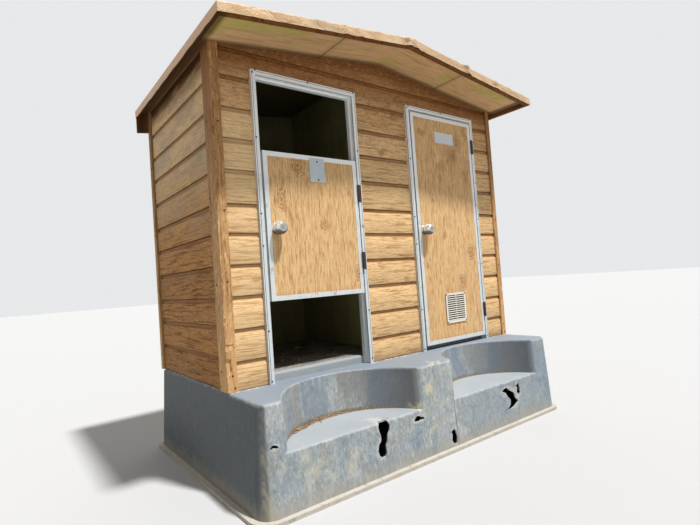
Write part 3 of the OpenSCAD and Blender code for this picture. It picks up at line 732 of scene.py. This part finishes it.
def makeVentPaint():
    place = newMaterial("ventPaint")
    low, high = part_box("right_door_vent")
    face = low[1]
    x, y, z = axes(place)
    dust = patchy(place, 9.0, 0.5, 0.3, 0.4)
    grime = runDown(place, 60.0, 8.0, 0.48)
    coat = Coat("ECE8DC")
    coat("D4CCBC", dust, 0.4)
    coat("B4A894", grime, 0.3)
    deep = between(y, face + 0.0008, face + 0.0024) * between(y, face + 0.0055, face + 0.0048)
    coat("282420", deep)  # painted shade deep in the slots
    rise = (z - (low[2] + 0.014)) / 0.01433
    line = between(abs(calc("FRACT", rise) - 0.5), 0.24, 0.32)
    middle = between(abs(x - (low[0] + high[0]) / 2), 0.006, 0.005)
    inner = between(abs(z - (low[2] + high[2]) / 2), 0.086, 0.084)
    # and painted slots across the middle bar, dark with painted shade
    coat("403A34", line, middle, inner, (y, face + 0.002, face + 0.001), 0.8)
    fine = noise(place, 320.0, 2.0)
    return surface(coat, 0.45, fine, bump=0.1, depth=0.0004)


def makePlatePaint(name, base, spotted):
    place = newMaterial(name)
    cloud = patchy(place, 12.0, 0.5, 0.3, 0.3)
    specks = noise(place, 400.0, 2.0)
    coat = Coat(base)
    coat(spotted, cloud, 0.5)
    coat("787064", (specks, 0.7, 0.8), 0.5)
    return surface(coat, 0.42, cloud, bump=0.15, depth=0.0005)


def makeScrewMetal():
    place = newMaterial("screwMetal")
    fine = noise(place, 300.0, 2.0)
    coat = Coat(mixColor(fine, "221E1C", "46382C"))
    return surface(coat, 0.5, fine, bump=0.2, depth=0.0004, metallic=0.5)


tankMarks = {  # x, z, half the width and half the height
    "holes": [(-1.046, 0.308, 0.020, 0.010), (-0.448, 0.238, 0.034, 0.046), (-0.466, 0.136, 0.030, 0.036),
              (-0.200, 0.229, 0.040, 0.015), (0.057, 0.072, 0.022, 0.040), (0.580, 0.215, 0.045, 0.022),
              (0.640, 0.160, 0.045, 0.045), (0.700, 0.206, 0.020, 0.038)],
    "yellow": [(-0.10, 0.36, 0.045, 0.10), (-0.125, 0.22, 0.030, 0.10), (-0.19, 0.27, 0.035, 0.04),
               (-0.09, 0.14, 0.035, 0.05), (-0.31, 0.50, 0.13, 0.03), (0.0, 0.49, 0.10, 0.02),
               (-0.86, 0.17, 0.12, 0.10), (-0.66, 0.14, 0.06, 0.07)],
    "rust": [(0.45, 0.150, 0.05, 0.008)],
    "steps": {-0.583: 1.0, 0.507: 0.35},  # middle of each step and how much grit lies on it
    "stepCenter": -0.837,  # where the steps' curves are struck from, before the tank
    "stepRadius": 0.42,
}


def makeTankShell():
    place = newMaterial("tankShell")
    x, y, z = axes(place)
    facing = facingAxes()
    upward = between(facing[2], 0.55, 0.92)
    upright = 1.0 - upward
    cloud = noise(place, 3.2, 6.0, 0.62)
    mottle = noise(place, (21.0, 21.0, 15.0), 6.0, 0.68)
    coat = Coat(mixColor(between(cloud, 0.36, 0.64), "8C98A1", "A6ABAC"))
    coat("C4C4BC", (mottle, 0.52, 0.66), upright, 0.5)
    coat("7E8995", (mottle, 0.47, 0.33), 0.5)
    blotch = noise(place, (10.0, 10.0, 8.0), 4.0, 0.6)
    coat("928E86", (blotch, 0.53, 0.6), upright, 0.4)
    coat("74808C", (blotch, 0.45, 0.38), upright, 0.4)
    pale = runDown(place, 15.0, 2.6, 0.53)
    dark = runDown(stretched(place, (1, 1, 1), (7.3, 2.1, 0.4)), 26.0, 3.4, 0.49)
    coat("BEBFB8", pale, upright, 0.34)
    coat("808B96", dark, upright, 0.34)
    fleck = noise(place, (95.0, 95.0, 40.0), 4.0, 0.7)
    coat("D6D4CA", (fleck, 0.54, 0.64), upright, 0.42)
    coat("606972", (fleck, 0.45, 0.37), (upward, 0.5, 1.0, 0.42, 0.12))
    # dust on the level places, and a darker top on the upper ledge
    dust = patchy(place, 4.0, 0.62, 0.3, 0.18)
    coat("A6ABAE", upward, dust * 0.3 + 0.6)
    coat("788492", upward, (z, 0.38, 0.44), 0.7)
    # broken caulk along the wall's foot, left and right of the doorways
    caulk = between(mottle * 0.02 + y, -0.402, -0.394) * between(noise(place, (46, 46, 46), 3.0, 0.7), 0.5,
                                                                 0.6)
    doorway = between(abs(abs(x + 0.02) - 0.56), 0.33, 0.36)
    coat("E2E0D6", caulk, (z, 0.47, 0.485), doorway, 0.6)
    # painted shade on faces turned from the sun: the tank's left side and each recess's right end, with
    # scuffs in it
    shaded = between(facing[0], -0.42, -0.62) * upright
    coat("545A5E", shaded, (x, -1.04, -1.07, 0.5, 0.86))
    scuff = noise(place, (60, 60, 44), 5.0, 0.75)
    coat("8C9294", (scuff, 0.58, 0.68), shaded, 0.3)
    coat("303636", (scuff, 0.42, 0.34), shaded, 0.4)
    coat("7A8A98", (x, 0.05, 0.35), upright, 0.36)
    flat = vectorOf(x, 0.0, z)
    front = between(y, -0.6, -0.66)
    # tall stains in each recess, and painted shade towards its right end
    stains = noise(place, (7.5, 3.0, 1.6), 3.0, 0.5, shift=(2.0, 0.0, 0.0))
    for middle in tankMarks["steps"]:
        inside = between(abs(x - middle), 0.44, 0.4) * between(z, 0.262, 0.28) * between(y, -0.75, -0.7)
        coat("8A857D", inside, upright, (stains, 0.51, 0.56), (x, middle - 0.34, middle - 0.2), 0.5)
        coat("748191", inside, upright, (stains, 0.47, 0.42), 0.5)
        coat("70777F", inside, upright, (x, middle, middle + 0.34), 0.45)
    warped = shake(flat, 19.0, 0.12)
    yellow = nearest(warped, frontMarks(tankMarks["yellow"]))
    coat("CCC6A4", (yellow, 1.15, 0.35), front, (mottle, 0.44, 0.56), (x, -0.5, -0.35, 0.3, 0.62))
    rust = nearest(warped, frontMarks(tankMarks["rust"]))
    coat("B08E6C", (rust, 1.2, 0.4), front, 0.5)
    # a thin pale broken rim and hairline cracks round the holes
    near = nearest(shake(flat, 40.0, 0.012), frontMarks(tankMarks["holes"]))
    cells = put("ShaderNodeTexVoronoi", {"feature": "DISTANCE_TO_EDGE"}, Scale=21.0, Randomness=1.0,
                Vector=shake(place, 30.0, 0.02))
    crack = between(cells.outputs["Distance"], 0.028, 0.008) * between(near, 2.3, 1.2)
    coat("D4D5D0", (near, 1.75, 1.15), front, (mottle, 0.38, 0.5), 0.42)
    coat("545452", crack, front, 0.6)
    # scuffs along the rounded edges and splashes near the ground
    bend = between(facing[2], 0.12, 0.4) * between(facing[2], 0.92, 0.6)
    coat("C8C9C4", bend, (mottle, 0.44, 0.58), (z, 0.44, 0.4, 0.14, 0.42))
    coat("A69E8E", (mottle * 0.13 + z, 0.17, 0.09), 0.5)
    drips = runDown(stretched(place, (1, 1, 1), (3.3, 0, 0)), 44.0, 2.4, 0.54)
    corner = between(facing[0], -0.22, -0.4) * between(facing[0], -0.93, -0.74)
    coat("BAB096", drips, corner, calc("LESS_THAN", x, -1.0), (y, -0.5, -0.6), (z, 0.36, 0.3, 0.3, 0.9))
    # brown grit where a tread meets its wall, thickest towards the left end
    for middle, amount in tankMarks["steps"].items():
        dx = x - middle
        dy = y - tankMarks["stepCenter"]
        reach = calc("SQRT", dx * dx + dy * dy)
        width = between(dx, -0.31, -0.17, 0.2, 1.0) * between(dx, -0.05, 0.3, 1.0,
                                                              0.12) * (0.034 * amount) + 0.005
        loose = (noise(place, 55.0, 4.0, 0.7) - 0.5) * 0.035
        edge = tankMarks["stepRadius"] - reach + loose - width
        lying = between(edge, 0.006, -0.004) * between(z, 0.296, 0.284) * between(dy, 0.22, 0.27)
        lying = lying * calc("LESS_THAN", reach, 0.435)
        grains = noise(place, 240.0, 3.0, 0.7)
        paint = mixColor(between(grains, 0.4, 0.6), "5C4C3C", "B09C84")
        coat(paint, lying, calc("GREATER_THAN", z, 0.262), 0.85)
    relief = mottle * 0.4 + noise(place, 150.0, 3.0) * 0.3 - crack * 0.6
    return surface(coat, cloud * 0.15 + 0.5, relief, bump=0.3, depth=0.003, Specular_IOR_Level=0.18)


def makeRimDirt():
    place = newMaterial("rimDirt")
    soft = noise(place, 9.0, 5.0, 0.6)
    dirt = patchy(place, 15.0, 0.52, 0.3, 0.5)
    dark = patchy(stretched(place, (1, 1, 1), (3, 5, 2)), 30.0, 0.42, 0.16, 0.8)
    coat = Coat(mixColor(soft, "B4AEA3", "C8C2B8"))
    coat("B09E86", dirt, 0.6)
    coat("70604E", dark, 0.55)
    return surface(coat, 0.8, dirt, bump=0.4, depth=0.002)


def makeFloorDirt():
    place = newMaterial("floorDirt")
    x, y, z = axes(place)
    cloud = noise(place, 8.0, 5.0)
    coat = Coat(mixColor(cloud, "8E969C", "AEB2B4"))
    inside = between(cloud * 0.05 + y, -0.33, -0.25)
    soil = patchy(place, 7.0, 0.56, 0.2, 0.5)
    coat("64543E", inside, soil * 0.45 + 0.5)
    chips = noise(place, (26.0, 60.0, 40.0), 3.0, 0.6)
    coat("CEBC92", (chips, 0.56, 0.62), inside, (y, 0.05, -0.15), (x, 0.0, -0.1, 0.15, 0.6))
    return surface(coat, 0.75, soil, bump=0.4, depth=0.003)


def makeGrit():
    place = newMaterial("gritBrown")
    grains = noise(place, 160.0, 3.0, 0.7)
    patch = noise(place, 45.0, 2.0)
    coat = Coat(mixColor(between(grains, 0.35, 0.65), "745A42", "AA8A68"))
    coat("CEB286", (patch, 0.56, 0.66), 0.7)
    return surface(coat, 0.9, grains, bump=0.4, depth=0.001)


sidings = {kind: makeSiding(kind) for kind in ("front", "side", "back")}
cornerPine = makeCornerPine()
liningPly = makeLining()
soffitPly = makeSoffit()
stainedPine = makeStained()
roofFilm = makeRoofFilm()
frameAluminium = makeAluminium()
knobSteel = makeSteel()
hingeLacquer = makeHingeMetal()
ventPaint = makeVentPaint()
platePaint = makePlatePaint("platePaint", "CCD7E0", "B8C2CC")
stickerVinyl = makePlatePaint("stickerVinyl", "DEE4EC", "CED4DE")
screwMetal = makeScrewMetal()
tankShell = makeTankShell()
rimDirt = makeRimDirt()
floorDirt = makeFloorDirt()
gritBrown = makeGrit()
print("finishes made:", len(bpy.data.materials))

finishOf = {  # the first word that stands in a node's name tells its finish
    "tank_bottom": rimDirt, "tank": tankShell, "floor_pan": floorDirt, "partition": liningPly,
    "roof_panel": soffitPly, "left_door_panel": makeDoorPly("left"), "right_door_panel": makeDoorPly("right"),
    "door_plate": platePaint, "door_vent": ventPaint, "corner_boards": cornerPine, "fascia": stainedPine,
    "eave_board": stainedPine, "frame_jambs": frameAluminium, "frame_head": frameAluminium,
    "stiles": frameAluminium, "rails": frameAluminium, "hinges": hingeLacquer, "knob": knobSteel,
}
for name, node in nodes.items():  # CAD nodes that keep their shape; the others are replaced below
    material = next((finish for word, finish in finishOf.items() if word in name), None)
    if material is not None:
        node.data.materials.clear()
        node.data.materials.append(material)
print("nodes dressed")

siding = {
    "thickness": 0.020,
    "coveHeight": 0.022,   # the recessed strip along a board's upper edge
    "coveCurve": 0.009,
    "coveDepth": 0.009,
    "rounding": 0.003,
    "gap": 0.0025,
    "lining": 0.022,       # where the inner lining starts, behind the outer face
    "unevenness": 0.0012,
    "seam": 0.0005,        # between a board and the next one above
    "endGap": 0.001,       # at both ends of a wall
    "eaveGap": 0.0015,     # under the roof panels
}


def sidingBoard(name, left, right, bottom, top, face, coved):  # faces -Y
    knee = top - siding["coveHeight"] if coved else top
    board = addBlock(name, (left, face, bottom), (right, face + siding["thickness"], knee))
    curve = siding["coveCurve"]
    for lift, back in ((curve, siding["coveDepth"]), (siding["coveHeight"] - curve, 0)) if coved else ():
        shape(board, "FACE", facesUp, bpy.ops.mesh.extrude_region_move,
              TRANSFORM_OT_translate={"value": (0, 0, lift)})
        crest = max(v.co.z for v in board.data.vertices) - nearby
        front = min(v.co.y for v in board.data.vertices if v.co.z > crest) + nearby
        nudge(board, "VERT", lambda v: v.z > crest and v.y < front, 0, back, 0)
    bevelEdges(board, lambda m, d: abs(d.x) > 0.9 and m.y < face + 0.012 and m.z < top - 0.001,
               siding["rounding"], 2)
    return board


rowShift = [random.uniform(-1, 1) * siding["unevenness"] for line in boardLines["front"]]


def trimGable(piece):
    for side in (-1, 1):
        cutAway(piece, (0, 0, roofRidge - siding["eaveGap"]), (side * roofSlope, 0, 1))


def sidingWall(name, facing, left, right, low, high, face, lines, stoodFor, gable=False):
    edges = [low] + [line for line in boardLines[lines] if low + 0.02 < line < high - 0.02] + [high]
    boards = []
    for bottom, top in zip(edges, edges[1:]):
        row = sum(line < bottom + 0.01 for line in boardLines[lines])
        foot = bottom + (siding["gap"] if bottom > low else 0.0)
        outer = face + siding["unevenness"] + rowShift[row]
        board = sidingBoard(f"{name}_{row}", left, right, foot, top - siding["seam"], outer, top < high)
        if gable and top > 2.17:
            trimGable(board)
        boards.append(board)
    wall = joinAll(name, boards)
    wall.rotation_euler = (0, 0, math.radians(facing))
    settle(wall)
    smooth(wall, 30)
    return dress(wall, "cabin", "side_boarding" if lines == "side" and facing != 180 else "boarding",
                 sidings["back" if facing == 180 else lines], stoodFor)


def liningWall(name, low, high, stoodFor, gable=False):
    sheet = addBlock(name, low, high)
    if gable:
        trimGable(sheet)
    bevelEdges(sheet, edgesAlong("z"), 0.001)
    return dress(sheet, "cabin", "lining", liningPly, stoodFor)


inset, spare = siding["lining"], siding["endGap"]
for part in ("left", "middle", "right", "top"):
    node = f"front_wall_{part}"
    low, high = corners(node)
    left, right, overDoors = low.x + spare, high.x - spare, part == "top"
    sidingWall(f"front_boards_{part}", 0, left, right, low.z, high.z, low.y, "front", node, overDoors)
    liningWall(f"front_lining_{part}", (left, low.y + inset, low.z), (right, high.y, high.z), node, overDoors)
low, high = corners("back_wall")
left, right = low.x + spare, high.x - spare
sidingWall("back_boards", 180, -right, -left, low.z, high.z, -high.y, "side", "back_wall", True)
liningWall("back_lining", (left, low.y, low.z), (right, high.y - inset, high.z), "back_wall", True)
for side, angle in (("left", -90), ("right", 90)):
    node = f"{side}_wall"
    low, high = corners(node)
    start, end = (-high.y, -low.y) if side == "left" else (low.y, high.y)
    outer, crown = -max(abs(low.x), abs(high.x)), high.z - siding["eaveGap"]
    sidingWall(f"{side}_boards", angle, start + spare, end - spare, low.z, crown, outer, "side", node)
    left, right = (low.x + inset, high.x) if side == "left" else (low.x, high.x - inset)
    liningWall(f"{side}_lining", (left, low.y, low.z), (right, high.y, crown), node)
print("walls boarded")

roofCover = {
    "front": -0.6988,
    "back": 0.7298,
    "side": 1.1705,
    "low": -0.0255,        # lower edge of the turned-down lip, from the underside of the roof
    "high": 0.0257,
    "alongCuts": 72,
    "acrossCuts": 48,
    "lipCuts": 4,
    "crumple": 0.0028,     # up and down on the slopes
    "bulge": 0.013,        # in and out on the front lip
    "raise": 0.012,        # how much the lip's lower edge wanders
    "folds": [(-1.02, 0.004), (-0.758, 0.003), (-0.49, 0.008), (-0.39, 0.007), (-0.035, 0.012), (0.02, 0.008),
              (0.482, 0.010), (0.78, 0.006)],
}


def makeRoofCover(name, side):
    edge, front, back = roofCover["side"], roofCover["front"], roofCover["back"]
    eave = roofHeight(edge)
    low = (min(0, side * edge), front, eave + roofCover["low"])
    high = (max(0, side * edge), back, eave + roofCover["high"])
    sheet = addBlock("roof_cover_" + name, low, high)
    nudge(sheet, "VERT", lambda v: abs(v.x) < 0.001, 0, 0, roofHeight(0) - eave)
    shape(sheet, "FACE", lambda c, n: n.z < -0.5 or abs(c.x) < 0.001, bpy.ops.mesh.delete, type="FACE")
    for axis, cuts in (("x", "alongCuts"), ("y", "acrossCuts"), ("z", "lipCuts")):
        shape(sheet, "EDGE", edgesAlong(axis), bpy.ops.mesh.subdivide, number_cuts=roofCover[cuts])

    def onTop(v):
        return v.z > roofHeight(v.x) + roofCover["high"] - 0.0008

    def onRim(v):
        return v.y < front + 0.001 or v.y > back - 0.001 or abs(v.x) > edge - 0.001

    bevelEdges(sheet, lambda m, d: onTop(m) and onRim(m), 0.005, 2)
    markVertices(sheet, "slopes", onTop)
    markVertices(sheet, "lip", lambda v: v.y < front + 0.001)
    markVertices(sheet, "hem", lambda v: v.z < roofHeight(v.x) + roofCover["low"] + 0.001)
    for place, out in roofCover["folds"]:
        for width, share in ((0.026, 0.4), (0.011, 0.6)):  # a fold leans, and is sharpest in its middle
            nudge(sheet, "VERT", lambda v: v.y < front + 0.006 and
                  abs(v.x - place + (v.z - roofHeight(v.x)) * 0.4) < width, 0, -out * share, 0)
    texture = bpy.data.textures.new(name + "Crumple", "CLOUDS")
    texture.noise_scale = 0.08
    texture.noise_depth = 3
    for group, direction, strength, middle in (("slopes", "Z", "crumple", 0.5), ("lip", "Y", "bulge", 0.72),
                                               ("hem", "Z", "raise", 0.35)):
        addModifier(sheet, "DISPLACE", texture=texture, strength=roofCover[strength], mid_level=middle,
                    direction=direction, vertex_group=group, texture_coords="GLOBAL")
    addModifier(sheet, "SOLIDIFY", thickness=0.002, offset=-1)
    smooth(sheet, 60)
    return dress(sheet, "cabin", "roof_sheet", roofFilm, "roof_sheet_" + name)


for name, side in (("left", -1), ("right", 1)):
    makeRoofCover(name, side)
print("roof covered")

screw = {
    "radius": 0.0046,
    "height": 0.0020,
    "onFrame": -0.3954,    # the screws' middles, on the face that each sits in
    "onFront": -0.3914,
    "onBack": 0.7094,
    "onSide": 1.1004,
    "above": 0.0006,       # how far before the plate and the vent
    "frames": {            # middle of each door, with x from it and z
        -0.545: [(-0.327, z) for z in (0.507, 0.757, 1.185, 1.349, 1.739, 2.075)] +
                [(-0.312, 2.090), (0.006, 2.086), (0.322, 2.088)] +
                [(0.327, z) for z in (0.520, 0.800, 1.290, 1.740)],
        0.545: [(-0.325, z) for z in (0.507, 0.760, 1.183, 1.359, 1.739, 2.075)] +
               [(-0.312, 2.089), (0.0, 2.086), (0.308, 2.090)] +
               [(0.326, z) for z in (0.510, 1.034, 1.360, 1.620)],
    },
    "corner": (0.512, 0.570, 1.016, 1.360, 1.794),
    "side": (0.516, 0.586, 1.004, 1.360, 1.430, 1.806),
}


def onCrown(center, normal):  # the small face in the middle of a disc
    return facesUp(center, normal) and center.xy.length < nearby


def addDisc(name, sides, look, rim):  # a small disc whose top has a rim and a crown
    clearSelection()
    bpy.ops.mesh.primitive_cylinder_add(vertices=sides, radius=look["radius"], depth=look["height"],
                                        end_fill_type="NGON")
    disc = bpy.context.active_object
    disc.name = name
    shape(disc, "FACE", facesUp, bpy.ops.mesh.inset, thickness=look["radius"] * rim)
    return disc


def makeScrew():
    head = addDisc("screwHead", 10, screw, 0.35)
    nudge(head, "FACE", onCrown, 0, 0, screw["height"] * 0.35)
    shape(head, "FACE", onCrown, bpy.ops.mesh.inset, thickness=screw["radius"] * 0.3)
    nudge(head, "FACE", onCrown, 0, 0, screw["height"] * -0.5)
    head.rotation_euler = (math.radians(90), 0, 0)
    settle(head)
    return head


def placeScrews(name, body, places):  # each place is x, y, z and the turn about Z, 0 for a face towards -Y
    made = []
    for number, (x, y, z, turn) in enumerate(places):
        placing = Matrix.Translation((x, y, z)) @ Matrix.Rotation(math.radians(turn), 4, "Z")
        made.append(copyOf(pattern, f"{name}_{number}", placing))
    return dress(joinAll(name, made), body, "hinge", screwMetal)


pattern = makeScrew()
front, back, side = screw["onFront"], screw["onBack"], screw["onSide"]
places = [(door + x, screw["onFrame"], z, 0) for door, spots in screw["frames"].items() for x, z in spots]
placeScrews("frame_screws", "cabin", places)
places = []
for z in screw["corner"]:
    wander = random.uniform(-0.005, 0.005)
    places += [(-1.068 + wander, front, z, 0), (1.082 + wander / 2, front, z, 0),
               (-1.075 + wander, back, z + 0.03, 180), (1.075 + wander, back, z + 0.03, 180)]
for z in screw["side"]:
    wander = random.uniform(-0.012, 0.012)
    places += [(x, y + wander, z, turn) for x, turn in ((-side, -90), (side, 90)) for y in (-0.318, 0.689)]
placeScrews("corner_screws", "cabin", places)
low, high = corners("left_door_plate")
middle, face = (low.x + high.x) / 2, low.y - screw["above"]
places = [(middle, face, high.z - 0.018, 0), (middle + 0.004, face, low.z + 0.012, 0)]
placeScrews("plate_screws", "left_door", places)
low, high = corners("right_door_vent")
face = low.y - screw["above"]
places = [(x, face, z, 0) for x in (low.x + 0.007, high.x - 0.007) for z in (low.z + 0.007, high.z - 0.007)]
placeScrews("vent_screws", "right_door", places)
bpy.data.objects.remove(pattern)
print("screws placed")

sticker = {"left": 0.470, "right": 0.657, "bottom": 1.875, "top": 1.951, "thickness": 0.0006}


def makeSticker():  # bare sticker on the full door
    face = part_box("right_door_panel")[0][1]
    low = (sticker["left"], face - sticker["thickness"], sticker["bottom"])
    label = addBlock("door_sticker", low, (sticker["right"], face, sticker["top"]))
    bevelEdges(label, edgesAlong("y"), 0.004, 3)
    return dress(label, "right_door", "plate", stickerVinyl)


makeSticker()

grit = {
    "radius": 0.0048,
    "height": 0.003,
    "stepMiddle": (-0.583, tankMarks["stepCenter"]),
    "stepRadius": 0.419,
    "tread": 0.272,
    "angle": 46,           # degrees from +X, where the heap on the step begins
    "sweep": 84,
    "thickest": 112,
    "onStep": 150,
    "onFloor": 46,
}


def scatterGrit():  # bits of wood and soil on the left tread and on the floor of the open stall
    flake = addDisc("gritFlake", 5, grit, 0.4)
    nudge(flake, "FACE", onCrown, 0.0008, 0.0004, grit["height"] * 0.4)
    made = []

    def drop(name, x, y, z, size):
        turn = Matrix.Rotation(random.uniform(0, 6.28), 4, "Z")
        turn = turn @ Matrix.Rotation(random.uniform(-0.35, 0.35), 4, "X")
        squash = [size * random.uniform(*span) for span in ((1.0, 2.4), (0.5, 1.0), (0.6, 1.2))]
        placing = Matrix.Translation((x, y, z + grit["height"] * size * 0.45)) @ turn
        made.append(copyOf(flake, name, placing @ Matrix.Diagonal((*squash, 1))))

    for number in range(grit["onStep"]):
        angle = grit["angle"] + grit["sweep"] * random.betavariate(2.4, 1.25)
        depth = 0.030 * math.exp(-((angle - grit["thickest"]) / 26) ** 2) + 0.004
        away = abs(random.gauss(0, 0.5)) * depth
        reach = grit["stepRadius"] - 0.007 - away
        stack = max(0.0, depth - away) * random.uniform(0, 0.35)
        x = grit["stepMiddle"][0] + reach * math.cos(math.radians(angle))
        y = grit["stepMiddle"][1] + reach * math.sin(math.radians(angle))
        drop(f"stepGrit_{number}", x, y, grit["tread"] + stack, random.uniform(0.4, 1.15))
    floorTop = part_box("floor_pan")[1][2]
    for number in range(grit["onFloor"]):
        x, y = random.uniform(-0.84, -0.26), random.uniform(-0.28, 0.35)
        drop(f"floorGrit_{number}", x, y, floorTop, random.uniform(0.7, 2.2))
    bpy.data.objects.remove(flake)
    return dress(joinAll("loose_grit", made), "cabin", "tank_rim", gritBrown)


scatterGrit()
print("sticker and grit placed")

studio = {
    "backdrop": (0.80, 0.81, 0.82, 1.0),
    "floorSeen": (0.53, 0.53, 0.53, 1.0),   # pale to the camera, plain grey in the light it throws back
    "floorBounce": (0.42, 0.42, 0.41, 1.0),
    "fill": 0.30,
    "fillColor": (1.0, 0.98, 0.94, 1.0),
    "keyStrength": 4.4,
    "keyAngle": 4,
    "keyFrom": (0.144, -0.378, 0.915),
    "backStrength": 0.5,
    "backAngle": 70,
    "backFrom": (0.25, 0.75, 0.6),
}


def makeStage():
    clearSelection()
    bpy.ops.mesh.primitive_plane_add(size=80, location=(0, 0, 0))
    floor = bpy.context.active_object
    floor.name = "studioFloor"
    newMaterial("studioPaper")
    seen = put("ShaderNodeLightPath").outputs["Is Camera Ray"]
    paper = surface(Coat(mixColor(seen, studio["floorBounce"], studio["floorSeen"])), 0.9)
    floor.data.materials.append(paper)


def addSun(name, direction, strength, angle):
    lamp = bpy.data.lights.new(name, "SUN")
    lamp.energy = strength
    lamp.angle = math.radians(angle)
    holder = bpy.data.objects.new(name, lamp)
    bpy.context.collection.objects.link(holder)
    holder.location = Vector(direction) * 8
    holder.rotation_euler = Vector(direction).to_track_quat("Z", "Y").to_euler()


def makeWorld():
    world = bpy.data.worlds.new("studio")
    bpy.context.scene.world = world
    world.use_nodes = True
    desk["tree"] = world.node_tree
    world.node_tree.nodes.clear()
    path = put("ShaderNodeLightPath").outputs
    seen = path["Is Camera Ray"]
    for ray in ("Is Glossy Ray", "Is Transmission Ray"):
        seen = calc("MAXIMUM", seen, path[ray])
    light = put("ShaderNodeBackground", Color=studio["fillColor"], Strength=studio["fill"])
    back = put("ShaderNodeBackground", Color=studio["backdrop"], Strength=1.0)
    mix = put("ShaderNodeMixShader")
    for socket, source in zip(mix.inputs, (seen, light.outputs[0], back.outputs[0])):
        feed(socket, source)
    feed(put("ShaderNodeOutputWorld").inputs["Surface"], mix.outputs[0])


photoCamera = {  # fitted to the photograph
    "lens": 24.02,
    "sensor": 36.0,
    "place": (-1.9536, -2.5151, 0.9881),
    "right": (0.79397587, -0.60375817, -0.07126281),
    "down": (-0.03530117, 0.07123542, -0.99683466),
    "forward": (0.60692351, 0.79397833, 0.03524584),
}


def makeCamera():
    data = bpy.data.cameras.new("photoView")
    data.sensor_width = photoCamera["sensor"]
    data.lens = photoCamera["lens"]
    data.clip_start = 0.05
    camera = bpy.data.objects.new("photoView", data)
    bpy.context.collection.objects.link(camera)
    right, down, forward = (Vector(photoCamera[way]) for way in ("right", "down", "forward"))
    turn = Matrix((right, -down, -forward)).transposed().to_4x4()
    camera.matrix_world = Matrix.Translation(photoCamera["place"]) @ turn
    bpy.context.scene.camera = camera


makeStage()
makeWorld()
addSun("keyLight", studio["keyFrom"], studio["keyStrength"], studio["keyAngle"])
addSun("backLight", studio["backFrom"], studio["backStrength"], studio["backAngle"])
makeCamera()
bpy.context.scene.view_settings.view_transform = "Standard"
print("stage set")
